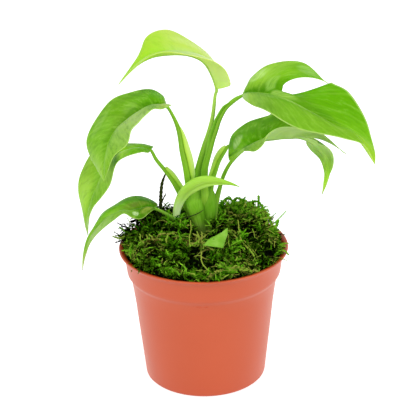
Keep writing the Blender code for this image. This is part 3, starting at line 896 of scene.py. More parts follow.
# %% Colours of the lower leaves
LEAF_PAINTS |= {
    # left_rear: at 37 percent the rib and front ramps turn pale, a painted highlight on the crest
    # of the arch, and at 43 dark, painted shade past the fold. The first mark is painted shade with
    # some brown of the leaf in it.
    "left_rear": {
        "rib": "0 74b414 24 8cd024 37 b4f03c 43 68a01c 58 84bc38 71 94c83c 82 90c640 100 b5d680",
        "back": "0 60a60c 30 84bc38 50 84b828 60 84b828 68 9ccc3c 77 a4d844 86 88c022"
                " 93 94be48 100 b4d478",
        "front": "0 74b020 16 6eb414 30 94d824 37 c8f858 43 549412 54 98c84c 73 74b024"
                 " 87 88be38 100 c4e29a",
        "edge": "b8de78", "streaks": 0.3, "gloss": 0.07,
        "marks": ((0.3, 0.5, 0.08, 0.1, "4f7d18", 0.6), (0.72, 0.7, 0.12, 0.08, "a9d659", 0.5)),
        "under": "0 c0e868 50 c0ec6c 100 cce4a0",
    },
    # low_left: the brown marks are blotches on the leaf, and the pale mark at 0.18 across is a
    # painted highlight.
    "low_left": {
        "rib": "0 4c9006 16 3e8402 26 508a0a 40 709c28 57 98cc4a 66 86ba42 84 88ba46"
               " 92 b0de72 100 c8e684",
        "back": "0 508c04 9 4c700a 17 3c7400 30 4c9200 45 72b60c 60 80c418 84 7cb02c 100 bcdc6c",
        "front": "0 549408 10 4a7a08 20 648420 30 48800a 37 74a630 55 84b63e 73 a4c674"
                 " 86 8cbe42 100 bce070",
        "edge": "a8cc68", "streaks": 0.3, "gloss": 0.02,
        "marks": (
            (0.62, 0.32, 0.09, 0.16, "8c9c3c", 0.75), (0.6, 0.36, 0.06, 0.05, "6f7f38", 0.5),
            (0.38, 0.15, 0.1, 0.07, "a09a50", 0.8), (0.18, 0.35, 0.09, 0.04, "dcf4b8", 0.9),
            (0.2, 0.2, 0.1, 0.09, "a8b450", 0.7),
        ),
        "under": "0 98c84c 50 a8d464 100 cce890",
    },
    # right_lobed: the first mark is painted sheen near the base, and the thin dark line at 0.85
    # across is painted shade in the crease by the auricle.
    "right_lobed": {
        "rib": "0 7cb235 10 408402 17 509600 35 5c9c02 60 8cb85a 80 83b83a 100 bde65b",
        "back": "0 8cc034 10 84c020 17 66ac04 36 5da202 46 76b40c 60 6fab1d 75 87b850 100 bde65b",
        "front": "0 98c448 8 689e1c 16 7eae3c 32 90be3c 45 98bc60 60 a0c870 75 8cc03c 100 b5e061",
        "edge": "94c450", "streaks": 0.32, "gloss": 0.03,
        "marks": (
            (0.81, 0.19, 0.08, 0.04, "b8dc88", 0.8), (0.84, 0.3, 0.12, 0.04, "84c024", 0.4),
            (0.7, 0.3, 0.14, 0.08, "4e8c04", 0.5), (0.86, 0.05, 0.25, 0.05, "94c44c", 0.9),
            (0.85, 0.125, 0.2, 0.012, "3c7a04", 0.8),
        ),
        "under": "0 b0dc70 34 bce484 45 b4dc74 50 b8e07c 53 98c454"
                 " 60 c4f088 68 c8f08c 77 8cc444 90 bcf04c 100 c4f058",
    },
    "right_rear": {
        "rib": "0 7cb235 20 57920e 100 7cb434",
        "back": "0 6fab1d 50 5c9a18 100 7cb434",
        "front": "0 6fab1d 50 5c9418 100 7cb434",
        "edge": "a8cc70", "streaks": 0.3, "marks": (),
        "under": "0 a8d864 100 b4dc74",
    },
}
print("ramps and marks for", len(LEAF_PAINTS), "leaves")


# %% Leaf pieces
BLADE_THICKNESS = 0.00045


def thicken(sheet, thickness):
    """Gives a sheet its thickness, downwards from its upper side."""
    shell = sheet.modifiers.new("thickness", "SOLIDIFY")
    shell.thickness, shell.offset = thickness, -1
    return shell


for name, leaf in LEAVES.items():
    paints = dict(LEAF_PAINTS[name])
    under = paints.pop("under")
    finishes = [
        leaf_finish(f"leaf_{name}", **paints), underside_finish(f"underside_{name}", under)
    ]
    slot = "young_leaf_green" if name == "top_left" else "leaf_green"
    blade = piece(f"leaf_{name}", blade_sheet(leaf), finishes, [f"blade_{name}"])
    shell = thicken(blade, BLADE_THICKNESS)
    shell.material_offset = shell.material_offset_rim = 1

# %% [markdown]
# ## Stalks and their sheaths
#
# A stalk is round near the leaf and runs on under the blade as its midrib. Lower down it
# widens into a sheath with thin pale wings, and all the sheaths clasp each other in the
# crown. Each stalk is one tube from the moss to the leaf's tip, with the wings joined on.


# %% Stalk finish
TONES_FROM, TONES_PER_METRE = 0.09, 10
SHADE_EDGES = (-0.007, 0.001)


def stalk_finish(name, tones, dark="57920e", pale="a8d460", lined=0.4, shaded=0.0):
    """The sheath's skin, with fine lines along it. tones run from 90 to 190 mm of height,
    and shaded darkens the side towards +X."""
    stalk = Finish(name)
    around, along = stalk.pattern()
    place = stalk.place()
    lines = stalk.grain(stalk.vector(around * 14, along * 1.5), 3.0, detail=3)
    height = stalk.coordinate(place, 2)
    cloud = stalk.grain(place, 70, detail=2)
    drift = (height - TONES_FROM) * TONES_PER_METRE + (cloud - 0.5) * 0.1
    colour = stalk.ramp(drift, *stops(tones))
    colour = stalk.mix(lines.step(0.45, 0.7) * lined, colour, paint(pale))
    colour = stalk.mix(lines.step(0.45, 0.3) * lined * 0.75, colour, paint(dark))
    if shaded:
        right = stalk.coordinate(place, 0)
        colour = stalk.mix(right.step(*SHADE_EDGES) * shaded, colour, paint(dark))
    return stalk.coat(
        Base_Color=colour,
        Roughness=cloud * 0.15 + 0.36,
        Normal=stalk.bump(lines, 0.0003, 0.5),
        Specular_IOR_Level=0.05,
        **GLOW,
    )


STALK_GREEN = stalk_finish(
    "stalk_skin", "0 6c982c 12 7cb034 25 84bc34 45 7cb828 56 80b82c 61 b0d87c 100 b4dc80"
)
# Between 25 and 34 percent, 115 to 124 mm up, the ramp turns pale: a painted highlight on the lower
# stalk.
SPLIT_STALK = stalk_finish(
    "split_stalk_skin",
    "0 608c1c 21 609818 25 98cc3c 28 a4dc48 34 9cd440 44 78b424 70 7cb828 100 88c434",
)
BRIGHT_STALK = stalk_finish(
    "bright_stalk_skin", "0 80b034 25 94cc38 45 98d834 70 8cc830 100 90cc38"
)
YOUNG_STALK = stalk_finish(
    "young_stalk_skin", "0 7cb034 45 7cb828 60 90c83c 75 b0dc5c 100 b4e060"
)
CROWN_SKIN = stalk_finish(
    "crown_skin", "0 8c9c44 8 7c943c 13 64941c 20 80c02c 30 a0dc44 100 a0dc48",
    dark="3c7c02", pale="a4dc50", lined=0.4, shaded=0.42,
)
STALK_SKINS = {
    "top_left": YOUNG_STALK, "right_split": SPLIT_STALK, "left_front": BRIGHT_STALK,
    "left_rear": BRIGHT_STALK, "right_rear": BRIGHT_STALK,
}


# %% Wing finish
def wing_finish(name, tones):
    """Green at the stalk and at its foot, paler and thin at the edge."""
    wing = Finish(name)
    across, along = wing.pattern()
    lines = wing.grain(wing.vector(across * 5, along * 2), 3.0, detail=3)
    colour = wing.ramp(across + (lines - 0.5) * 0.3, *stops(tones))
    colour = wing.mix(along.step(0.45, 0.1), colour, paint("8ccc3c"))
    return wing.coat(
        Base_Color=colour, Roughness=0.45, Normal=wing.bump(lines, 0.0002, 0.5),
        Specular_IOR_Level=0.1, **GREEN_SHINE,
    )


WING_PALE = wing_finish("sheath_wing", "0 84bc30 20 c8f850 48 dcff74 100 dcff94")
WING_GREEN = wing_finish("green_sheath_wing", "0 5c9c18 50 70b024 100 90cc48")

# %% Stalk tables
# Sections of (x, y, z, half width, half depth) from the moss to the leaf.
STALKS = {
    "top_left": [
        (-1, 11, 88, 3, 2.6), (-1.5, 11, 98, 3, 2.4), (-2.4, 10.6, 110.7, 2.6, 1.9),
        (-3, 10.2, 121, 2.4, 1.8), (-2.8, 9.4, 131, 2.2, 1.7), (-1, 8.8, 140, 1.8, 1.5),
        (2.1, 8.3, 150, 1.9, 1.5), (4.1, 8, 156.7, 1.6, 1.4), (5.8, 7.6, 163.3, 1.4, 1.3),
        (7.1, 7, 170, 1.2, 1.2), (7.9, 6, 176.7, 1.1, 1.1), (8.6, 5.5, 183, 0.95, 0.95),
    ],
    "right_split": [
        (1.5, 10, 88, 4, 3.2), (1.8, 9.4, 99, 3.6, 2.8), (1.8, 8.6, 110.6, 2.8, 2.2),
        (1.2, 7.2, 122.5, 2.4, 1.8), (1.6, 6, 134.6, 2.1, 1.7), (2.9, 5.3, 141.4, 2, 1.6),
        (4.7, 4.8, 148.1, 1.9, 1.5), (6.5, 4.2, 155, 1.75, 1.4), (8.6, 3.5, 161.6, 1.65, 1.4),
        (10.6, 2.6, 168.3, 1.6, 1.3), (13.9, 1, 175.2, 1.35, 1.2), (16.5, 0, 178.7, 1.35, 1.2),
        (20.3, -1.6, 182.6, 1.35, 1.2),
    ],
    "left_front": [
        (-2.5, 11.5, 88, 4, 3), (-4.4, 11.8, 99, 3.4, 2.4), (-6.6, 11.8, 111, 2.7, 2.1),
        (-7.6, 10.5, 119.5, 2.6, 2), (-8.5, 9, 126.8, 2.5, 1.9), (-9.5, 7.2, 134.3, 2.2, 1.8),
        (-10.6, 5.3, 141.7, 2.1, 1.7), (-11.8, 3.8, 148.9, 1.9, 1.6),
        (-12.6, 2.8, 155.8, 1.65, 1.5), (-13.6, 1.6, 162.7, 1.55, 1.4),
        (-15.8, 0, 169.8, 1.15, 1.1), (-18.6, -1.6, 176.5, 0.95, 1),
    ],
    "left_rear": [
        (-3, 14, 90, 3.4, 2.6), (-7, 14.4, 101, 2.8, 2.2), (-11, 14.5, 110, 2.5, 2),
        (-14.6, 14.3, 118, 2.2, 1.8), (-18.4, 13.5, 125.1, 1.7, 1.5),
        (-23, 12.5, 132.3, 1.3, 1.2), (-27.9, 11.5, 139.5, 1.15, 1.1),
    ],
    "right_rear": [
        (3, 13, 90, 3, 2.4), (3.8, 13.8, 101, 2.4, 1.9), (4.6, 14.6, 112, 1.9, 1.6),
        (5.6, 15.2, 121.5, 1.8, 1.5), (8.3, 16.5, 130.1, 1.5, 1.3),
        (10.8, 19, 135.7, 1.35, 1.2), (14.2, 22, 140.3, 1.2, 1.1), (16.2, 24.6, 142.4, 1, 1),
    ],
    "right_lobed": [
        (4, 10.5, 88, 3.4, 3), (5.8, 10.2, 99, 2.8, 2.4), (8, 9.6, 111, 2, 1.8),
        (11.2, 7.5, 123.8, 1.3, 1.3), (13.2, 5.5, 131.2, 1.25, 1.2), (16.4, 3, 138.8, 1.15, 1.1),
        (20.5, 1, 144.9, 1.1, 1),
    ],
    "low_left": [
        (-16.5, 9, 92, 1.8, 1.6), (-18.6, 8.2, 100.6, 1.4, 1.2), (-21.5, 6, 104.6, 1.2, 1.1),
        (-24.5, 4, 107.6, 1, 1),
    ],
}
# Wings: the side they stand on (1 towards +X), where they start and end along the stalk (0
# to 1), and their widths in millimetres at even steps between.
WINGS = {
    "left_front": (1, 0.09, 0.87, (0.3, 1.6, 2.6, 3.6, 3.7, 2.5, 0.2)),
    "left_rear": (1, 0.3, 0.85, (0.5, 1.8, 2.2, 2.6, 1.8)),
    "right_rear": (-1, 0.25, 0.98, (0.5, 1.7, 2.3, 3.0, 1.4)),
    "right_split": (-1, 0.42, 0.94, (0.3, 1.0, 1.5, 1.6, 1.4, 1.2, 0.3)),
}
print(len(STALKS), "stalks,", len(WINGS), "with wings")


# %% Sheath wings
WING_COLUMNS, WING_THICKNESS = 6, 0.0003
# Where a wing stands on the stalk, as shares of its half width and half depth, and the
# ripple along its edge.
WING_ROOT, WING_CUP, WING_RIPPLE, WING_WAVES = 0.7, 0.9, 0.0002, 17


def wing(sections, side, start, end, widths, steps=6):
    """A thin flange along one side of a stalk."""
    centres, halves = spine_and_halves(sections, steps)
    last = len(centres) - 1
    first, stop = round(start * last), round(end * last)
    bm = grid(WING_COLUMNS, stop - first)
    for vert in bm.verts:
        way = vert.co.y / 2 + 0.5
        i = first + round(way * (stop - first))
        out = vert.co.x / 2 + 0.5
        across = heading(centres, i).cross(Vector((0, 1, 0))).normalized() * -side
        reach = curve(widths, way * (len(widths) - 1)) * out
        aside = across * (halves[i].x * WING_ROOT + reach * 0.001)
        cup = WING_CUP * halves[i].y * (1 - out) ** 2
        cup -= WING_RIPPLE * out * sin(way * WING_WAVES)
        vert.co = centres[i] + aside - Vector((0, cup, 0))
    bmesh.ops.solidify(bm, geom=bm.faces[:], thickness=WING_THICKNESS)
    bmesh.ops.recalc_face_normals(bm, faces=bm.faces)
    return bm


# %% Stalk pieces
def stalk_outline(turn, along):
    """Round, with a shallow groove down the front and another down the back."""
    return 1 - 0.1 * exp(-(((turn + 1.2) / 0.3) ** 2)) - 0.12 * exp(-(((turn - 1.6) / 0.3) ** 2))


# The half width of a midrib at the stalk and at the tip, and how it tapers.
RIB_WIDE, RIB_THIN, RIB_TAPER = 0.95, 0.15, 0.7


def under_blade(leaf):
    """The stalk's run under the blade, as its midrib."""
    ribs = []
    for index in range(leaf.last + 1):
        rib = leaf.at(0.0, index) * 1000
        thin = max(RIB_THIN, RIB_WIDE * (1 - index / leaf.last) ** RIB_TAPER)
        ribs.append((rib.x, rib.y, rib.z - 0.25 - 0.3 * thin, thin, thin * 0.8))
    return ribs


for name, sections in STALKS.items():
    bm = tube(sections + under_blade(LEAVES[name]), sides=20, outline=stalk_outline)
    if name in WINGS:
        join(bm, wing(sections, *WINGS[name]), slot=1)
    flange = WING_GREEN if name == "right_split" else WING_PALE
    skins = [STALK_SKINS.get(name, STALK_GREEN), flange]
    piece(f"stalk_skin_{name}", bm, skins, [f"stalk_{name}"])

# %% [markdown]
# ## Crown, side shoot and young leaf
#
# The outermost sheaths wrap the foot of the stalks. A small side shoot leans out of the
# moss to the left and carries the lowest leaf and a young leaf, which is still rolled
# along its length into a sickle with one open lip.

# %% Crown sheaths
crown = tube([
    (-0.8, 5.4, 84, 4.2, 3.6), (-1.2, 5.2, 95, 4.2, 3.4), (-2.2, 5.6, 100, 4.4, 3.3),
    (-3.6, 7, 105.8, 4.9, 3.4), (-4.6, 8.6, 110, 5.5, 3.4), (-5.2, 9.8, 114, 6.1, 3.2),
    (-4.4, 10.6, 120, 5.6, 2.2), (-4.2, 10.8, 124, 3.4, 0.6),
], sides=28)
tube([
    (4.3, 6.2, 84, 3.3, 3), (4.3, 6.4, 97, 3.1, 2.8), (4.4, 7, 104.8, 3.6, 2.8),
    (4.6, 7.8, 109.7, 3.9, 2.8), (4.8, 8.4, 114, 3.6, 2.4), (5, 8.6, 118, 2.6, 1.6),
    (5.4, 8.6, 121, 0.8, 0.6),
], sides=28, bm=crown)
piece("crown_sheaths", crown, [CROWN_SKIN], ["main_crown"])

# %% Side shoot
shoot = tube([
    (-15.5, 10, 84, 2.6, 2.6), (-16, 9.6, 92, 3, 2.8), (-16.6, 9.2, 98, 2.8, 2.4),
    (-16.4, 9, 103, 1.6, 1.4), (-15.8, 8.8, 106, 0.6, 0.5),
], sides=20)
piece("side_shoot_skin", shoot, [STALK_GREEN], ["side_shoot"])


# %% Young leaf
def rolled_outline(turn, along):
    """A roll with one open lip low on the front."""
    lip = turn + 2.0 + 0.4 * along
    inside = exp(-((lip / 0.22) ** 2)) if lip < 0 else exp(-((lip / 0.7) ** 2))
    return 1 - 0.3 * inside * sin(pi * min(1.0, 0.15 + along)) ** 0.5


def young_finish():
    leaf = Finish("young_leaf_skin")
    around, along = leaf.pattern()
    streak = leaf.grain(leaf.vector(around * 12, along * 2), 3.0, detail=3)
    colour = leaf.ramp(along, *stops("0 dcf4a8 14 d4f494 27 bcec60 45 b6ea56 65 aee04c 100 98d030"))
    # The pale strip low on the inner lip and the pale base are partly the roll's paler inner side
    # and partly painted light: as pale as paint goes, for light through the thin leaf.
    low = leaf.larger(around.step(0.2, 0.1), along.step(0.42, 0.2) * around.step(0.42, 0.3))
    pale = leaf.mix(along.step(0.2, 0.36), paint("e0ffb4"), paint("ccff70"))
    colour = leaf.mix(low * 0.9, colour, pale)
    colour = leaf.mix(streak.step(0.5, 0.75) * 0.35, colour, paint("dcfca0"))
    return leaf.coat(
        Base_Color=colour, Roughness=0.38, Normal=leaf.bump(streak, 0.0002, 0.5),
        Specular_IOR_Level=0.25, **GLOW,
    )


young = tube([
    (-17.2, 9.5, 96, 1.6, 1.6), (-16.8, 9, 101, 2.0, 1.8), (-16, 8, 107.5, 2.45, 2),
    (-14.2, 6.5, 114, 3, 2.1), (-11, 4.5, 120, 3.6, 2.1), (-6.8, 2.2, 124.8, 4.1, 2),
    (-2, 0.3, 128.3, 4.2, 1.9), (3, -1.6, 130.3, 3.7, 1.7), (8.5, -3, 130.8, 2.6, 1.4),
    (14, -4, 130.2, 1.6, 1), (18.4, -4.5, 129.2, 0.85, 0.7), (22.8, -5, 127.5, 0.15, 0.15),
], sides=36, outline=rolled_outline)
piece("young_leaf_skin", young, [young_finish()], ["young_leaf"])

# %% [markdown]
# ## Moss
#
# Sheet moss is a tangle of fine feathery fronds over a matted layer, painted near black
# as shade. A mound gives the heap its shape, with hummocks and hollows. A frond is a
# ribbon stem with narrow leaflets on all its sides, bent along a path. A few fronds are
# made once and copied some thousands of times: in cushions that burst out of the heap,
# with olive strands lying over them. Deep shade between the cushions, much of it painted,
# does as much as the fronds themselves.

# %% Hummocks and gaps
MOSS_EDGE = 47.8
# x, y, rise and spread of each hummock or hollow, in millimetres.
HUMMOCKS = [
    (24, 32, 4.5, 12), (34, 29, 3, 7), (46, 20, -4, 8), (-28, 24, 6, 10), (-44, 16, 4, 9),
    (-47, -2, 2, 8), (-32, -16, 1.5, 10), (0, -6, -2, 9), (46, -6, 3, 9), (28, 6, -8, 5),
    (-4, -22, -4, 5), (-3, -29, -3, 5), (-31, -27, -2, 4), (8, -15, -3, 9), (16, -36, 1, 6),
    (-15, -30, 2, 7), (22, -26, 1, 7), (8.5, 0, 5, 5), (-9, 0, 2, 5), (16, 20, -4, 4),
    (-41, -23, 3, 8), (-24, -40, 2, 8), (-17, 4, 5, 6), (38, -21, -3, 5), (33, -34, 1.5, 8),
    (8.5, 0.5, 3.5, 4), (0.5, -1.5, -4, 4), (27, -2, -4, 5), (28, -20, -2.5, 10),
    (0, -35, -1.5, 5),
]
# x, y and radius of dark gaps between the cushions.
GAPS = [
    (28, 6, 4.5), (27, 0, 4), (-4, -22, 4.5), (-3, -28, 4.5), (38, -20, 4), (6, -38, 4),
    (-30, -28, 3.5), (-41, 14, 4.5), (16, 19, 3), (-12, -23, 2.5), (-24, 28, 6), (-28, 3, 3),
    (10, -16, 5), (18, -14, 2.5), (-20, -22, 2.5),
]
# Heights at the wall and above it in the middle, and the height and size of small lumps.
BASE_HEIGHT, MOUND_RISE, LUMPS, LUMP_SIZE = 86.5, 7.5, 2.4, 6
print(len(HUMMOCKS), "hummocks and", len(GAPS), "gaps")


def moss_height(x, y):
    """The top of the moss: a mound that falls away to the front, with its hummocks."""
    reach = min(hypot(x, y) / MOSS_EDGE, 1.0)
    mound = 1 - reach**6
    if y < 0:
        mound = min(mound, 1 + y / MOSS_EDGE)
    height = BASE_HEIGHT + MOUND_RISE * mound
    for at_x, at_y, rise, spread in HUMMOCKS:
        away = hypot(x - at_x, y - at_y) / spread
        height += rise * exp(-away * away)
    return height + LUMPS * noise.noise(Vector((x, y, 3)) / LUMP_SIZE)


# %% Moss mound
# The mound lies MAT_DEPTH below the fronds' feet, and ends in a skirt inside the pot.
MOUND_SIDES, RING_STEP, MAT_DEPTH = 96, 1.3, 2.5
SKIRT_SHARE, SKIRT_FOOT = 0.975, 0.0803


def grow(bm, edges):
    """Extrudes a border, and gives its new points and edges."""
    made = bmesh.ops.extrude_edge_only(bm, edges=edges)["geom"]
    points = [item for item in made if isinstance(item, bmesh.types.BMVert)]
    return points, [e for e in made if isinstance(e, bmesh.types.BMEdge) and e.is_boundary]


mound = bmesh.new()
bmesh.ops.create_circle(mound, cap_ends=True, cap_tris=True, segments=MOUND_SIDES, radius=0.001)
outline = [edge for edge in mound.edges if edge.is_boundary]
radius = 1.0
while radius < MOSS_EDGE - 0.01:
    larger = min(radius + RING_STEP, MOSS_EDGE)
    ring, outline = grow(mound, outline)
    bmesh.ops.scale(mound, vec=(larger / radius, larger / radius, 1), verts=ring)
    radius = larger
for vert in mound.verts:
    vert.co.z = (moss_height(vert.co.x * 1000, vert.co.y * 1000) - MAT_DEPTH) * 0.001
skirt, outline = grow(mound, outline)
for vert in skirt:
    vert.co = (vert.co.x * SKIRT_SHARE, vert.co.y * SKIRT_SHARE, SKIRT_FOOT)
bmesh.ops.contextual_create(mound, geom=outline)
bmesh.ops.recalc_face_normals(mound, faces=mound.faces)
print("mound:", len(mound.faces), "faces")


# %% Moss finishes
# The layer under the fronds is near black: a dark sheet of painted shade, with fibres.
def shade_mat_finish():
    mat = Finish("moss_mat")
    place = mat.place()
    fibres = mat.grain(place, 420, detail=6, roughness=0.7, distortion=1.5)
    colour = mat.ramp(fibres, *stops("30 020400 55 0b1602 75 1c300a"))
    return mat.coat(
        Base_Color=colour, Roughness=0.95, Normal=mat.bump(fibres, 0.003),
        Specular_IOR_Level=0.1,
    )


# From deep shade through green to olive and to dry brown.
FROND_TONES = (
    "0 050600 16 0e1400 32 244a02 46 3e7c06 60 60ac10 74 98d838 83 a8c448 92 bcba5c"
    " 100 5a521c"
)


def frond_finish():
    """Along a frond the map runs from its foot to its tip, and across it says a tone."""
    frond = Finish("moss_frond")
    along, tone = frond.pattern()
    speck = frond.grain(frond.place(), 900, detail=2)
    colour = frond.ramp(tone + (speck - 0.5) * 0.4, *stops(FROND_TONES))
    # Towards its foot a frond darkens: painted shade deep in the heap. Its tip turns lighter.
    colour = frond.mix(along.step(0.5, 0.0) * 0.85, colour, paint("0a1402"))
    colour = frond.mix(along.step(0.6, 1.0) * 0.3, colour, paint("90d02c"))
    return frond.coat(Base_Color=colour, Roughness=0.8, Specular_IOR_Level=0.0)


FROND = frond_finish()
piece("moss_mound", mound, [shade_mat_finish()], ["moss_mat"])


# %% One frond
# Where the first leaflets stand along the stem, their lean in degrees and their sizes.
FIRST_LEAFLET, LEAFLET_LEAN, LEAFLET_SIZES = 0.06, (28, 65), (0.7, 1.25)
NEARLY_UP = Vector((0.1, 0.05, 1))  # no frond runs just this way, so each has a side


def path_length(path):
    return sum((Vector(b) - Vector(a)).length for a, b in zip(path, path[1:]))


def frond_mesh(path, seed, core=0.55, leaflet=1.7, pairs=18, slim=0.26, foot=0.0):
    """A moss frond along a path in millimetres, as a mesh in metres. The map along it
    starts at foot, and a frond that starts at 0 has a shaded foot."""
    rng = Random(seed)
    path = [Vector(point) for point in path]
    length = path_length(path)
    bm, pattern = patterned()
    for turn in (pi / 4, -pi / 4):
        ribbon = (
            Matrix.Translation((length / 2, 0, 0)) @ Matrix.Rotation(turn, 4, "X")
            @ Matrix.Diagonal((length / 2, core / 2, 1, 1))
        )
        bmesh.ops.create_grid(bm, x_segments=len(path) + 2, y_segments=1, size=1, matrix=ribbon)
    for index in range(pairs * 2):
        way = FIRST_LEAFLET + (1 - FIRST_LEAFLET) * (index + 1) / (pairs * 2)
        size = leaflet * (1 - 0.5 * way**3) * rng.uniform(*LEAFLET_SIZES)
        turn = Matrix.Rotation(rng.uniform(-pi, pi), 4, "X")
        lean = Matrix.Rotation(radians(rng.uniform(*LEAFLET_LEAN)), 4, "Z")
        shape = Matrix.Diagonal((size / 1.5, size * slim, 1, 1))
        bmesh.ops.create_circle(
            bm, cap_ends=True, segments=3, radius=1,
            matrix=Matrix.Translation((way * length, 0, 0)) @ turn @ lean
            @ Matrix.Translation((size / 3, 0, 0)) @ shape,
        )
    for face in bm.faces:
        for loop in face.loops:
            way = min(max(loop.vert.co.x / length, 0), 1)
            loop[pattern].uv = (foot + (1 - foot) * way, 0.5)
    bend(bm, path, length)
    return as_mesh("frond", bm)


def bend(bm, path, length):
    """Bends what lies along X to a path, from millimetres to metres."""
    last = len(path) - 1
    for vert in bm.verts:
        way = min(max(vert.co.x / length, 0), 1)
        spine = curve(path, way * last)
        ahead = curve(path, min(way + 0.02, 1) * last) - curve(path, max(way - 0.02, 0) * last)
        ahead.normalize()
        side = ahead.cross(NEARLY_UP).normalized()
        past = ahead * (vert.co.x - way * length)
        vert.co = (spine + past + side * vert.co.y + side.cross(ahead) * vert.co.z) * 0.001


# %% Kinds of frond
FEATHERS = [
    frond_mesh([(0, 0, 0), (3, 0.5, 1.5), (6, 0.2, 2.2), (9, -1, 1.8), (11, -2.5, 0.5)], 1),
    frond_mesh([(0, 0, 0), (2.5, -0.6, 2), (5, -0.4, 3.4), (8, 0.8, 3.6), (10, 2.5, 2.4)], 2),
    frond_mesh([(0, 0, 0), (2, 1, 1), (4.5, 1.2, 2.6), (7, 0, 3.4), (9, -1.6, 3)], 3),
    frond_mesh([(0, 0, 0), (3, -1.5, 1), (6, -1.8, 1), (9, -0.5, 1.4), (11.5, 1.5, 0.6)], 4),
    frond_mesh([(0, 0, 0), (1.5, 0.2, 2), (4, 0, 3.8), (6.5, 0.3, 3.6), (8, 1, 2)], 5),
]
STRAND = {"core": 0.6, "leaflet": 1.1, "pairs": 15, "slim": 0.28, "foot": 0.4}
STRANDS = [
    frond_mesh([(0, 0, 0), (4, 1.5, 1), (8, 1, 0.5), (12, -1.5, 1.2), (16, -1, 0.2)], 6, **STRAND),
    frond_mesh([(0, 0, 0), (3, -1, 1.5), (7, -3, 1.2), (11, -3, 0.6), (14, 0, 0.4)], 7, **STRAND),
    frond_mesh([(0, 0, 0), (4, 0, 2), (8, 1.5, 2.6), (12, 4, 1.6), (14, 7, 0)], 8, **STRAND),
    frond_mesh([(0, 0, 0), (3, 2, 0.5), (7, 2.6, 1), (11, 0, 0.8), (16, -2, 1)], 9, **STRAND),
]
print("faces of a frond:", [len(mesh.polygons) for mesh in FEATHERS + STRANDS])


# %% Where a frond may stand
# Radii from the pot's axis, in millimetres: the inside of the wall, how far fronds stand
# out where they hang over the lip, and where the lip begins. LIP_STAND is its height.
WALL_INSIDE, OVER_LIP, LIP_RING, LIP_STAND = 48.2, 49.6, 48.3, 87.2
FIELD = 50
# x, y and radius of rings that stay free for the crown.
CROWN_RINGS = [(0, 9, 8), (0.5, 0, 3)]
# Fronds hang over the lip where x is under LEFT or y is over BACK.
LEFT, BACK = -38, 26


def ring_at(x, y, rings, more=0):
    """The first of some rings of (x, y, radius) that the place lies in, or None."""
    for ring in rings:
        if hypot(x - ring[0], y - ring[1]) < ring[2] + more:
            return ring
    return None


def fits(x, y):
    """Inside the wall and clear of the crown, or over the lip at the left and the back."""
    limit = OVER_LIP if x < LEFT or y > BACK else WALL_INSIDE
    return hypot(x, y) < limit and not ring_at(x, y, CROWN_RINGS)


def moss_spot(rng):
    """A random place that fits."""
    while True:
        x, y = rng.uniform(-FIELD, FIELD), rng.uniform(-FIELD, FIELD)
        if fits(x, y):
            return x, y


def moss_place(x, y, lift):
    """A frond's foot, on the mound or on the lip."""
    height = moss_height(x, y) + lift
    return mm(x, y, max(height, LIP_STAND) if hypot(x, y) > LIP_RING else height)


# %% Turning and trimming
GAP_MARGIN, NEAR_WALL, WALL_TURNS = 5, 43, (0.5, 1.7)
# A frond may hang out at the left, from HANG_SIDE backwards, and behind HANG_BACK.
HANG_LEFT, HANG_SIDE, HANG_BACK = -36, 6, 24


def bearing(x, y):
    """The turn about Z that points along x, y."""
    return Vector((1, 0)).angle_signed(Vector((x, y))) * -1


def tame(x, y, turn, rng):
    """A frond beside a gap leans away from it. Near the wall it points back over the heap,
    except on the left and at the back, where it may hang over the lip."""
    near = ring_at(x, y, GAPS, GAP_MARGIN)
    if near:
        return bearing(x - near[0], y - near[1]) + rng.uniform(-1, 1)
    inward = (x > HANG_LEFT or y < HANG_SIDE) and y < HANG_BACK
    if hypot(x, y) > NEAR_WALL and inward:
        return bearing(-x, -y) + rng.choice((-1, 1)) * rng.uniform(*WALL_TURNS)
    return turn


# The wall in metres: its radius, the height where it flares out and how much, and its top.
WALL, FLARE_FROM, FLARE, WALL_TOP = WALL_INSIDE * 0.001, 0.084, 0.9, 0.0868


def trim(bm):
    """Takes off what would run through the wall of the pot, which flares out at the lip."""
    buried = [
        v for v in bm.verts
        if v.co.z < WALL_TOP
        and hypot(v.co.x, v.co.y) > WALL + FLARE * max(0, v.co.z - FLARE_FROM)
    ]
    bmesh.ops.delete(bm, geom=buried, context="VERTS")


# %% Copies over the mound
def add_frond(bm, mesh, place, turn, tilt, roll, size, tone):
    """Joins one turned and toned copy to bm."""
    copy = mesh.copy()
    for item in copy.uv_layers["pattern"].uv:
        item.vector.y = tone
    spin = Euler((roll, -tilt, turn)).to_matrix().to_4x4()
    copy.transform(Matrix.Translation(place) @ spin @ Matrix.Scale(size, 4))
    bm.from_mesh(copy)
    bpy.data.meshes.remove(copy)


STRAY_SHARE = 0.12


def near_spots(x, y, spots):
    """1 at the middle of a spot of (x, y, spread), and less and less away from all."""
    return sum(
        exp(-(((x - at_x) ** 2 + (y - at_y) ** 2) / spread**2)) for at_x, at_y, spread in spots
    )


def scatter(name, count, seed, kinds, lift, tone, tilts, sizes, spots=()):
    """Single fronds, all over the mound or mostly about some spots. A tone has a middle
    and a spread, and tilts are in degrees."""
    rng = Random(seed)
    bm, _ = patterned()
    for _ in range(count):
        x, y = moss_spot(rng)
        while spots and rng.random() > STRAY_SHARE + near_spots(x, y, spots):
            x, y = moss_spot(rng)
        turn = tame(x, y, rng.uniform(-pi, pi), rng)
        add_frond(
            bm, rng.choice(kinds), moss_place(x, y, lift), turn, radians(rng.uniform(*tilts)),
            rng.uniform(-1, 1), rng.uniform(*sizes), rng.gauss(*tone),
        )
    trim(bm)
    piece(name, bm, [FROND], flat=True)
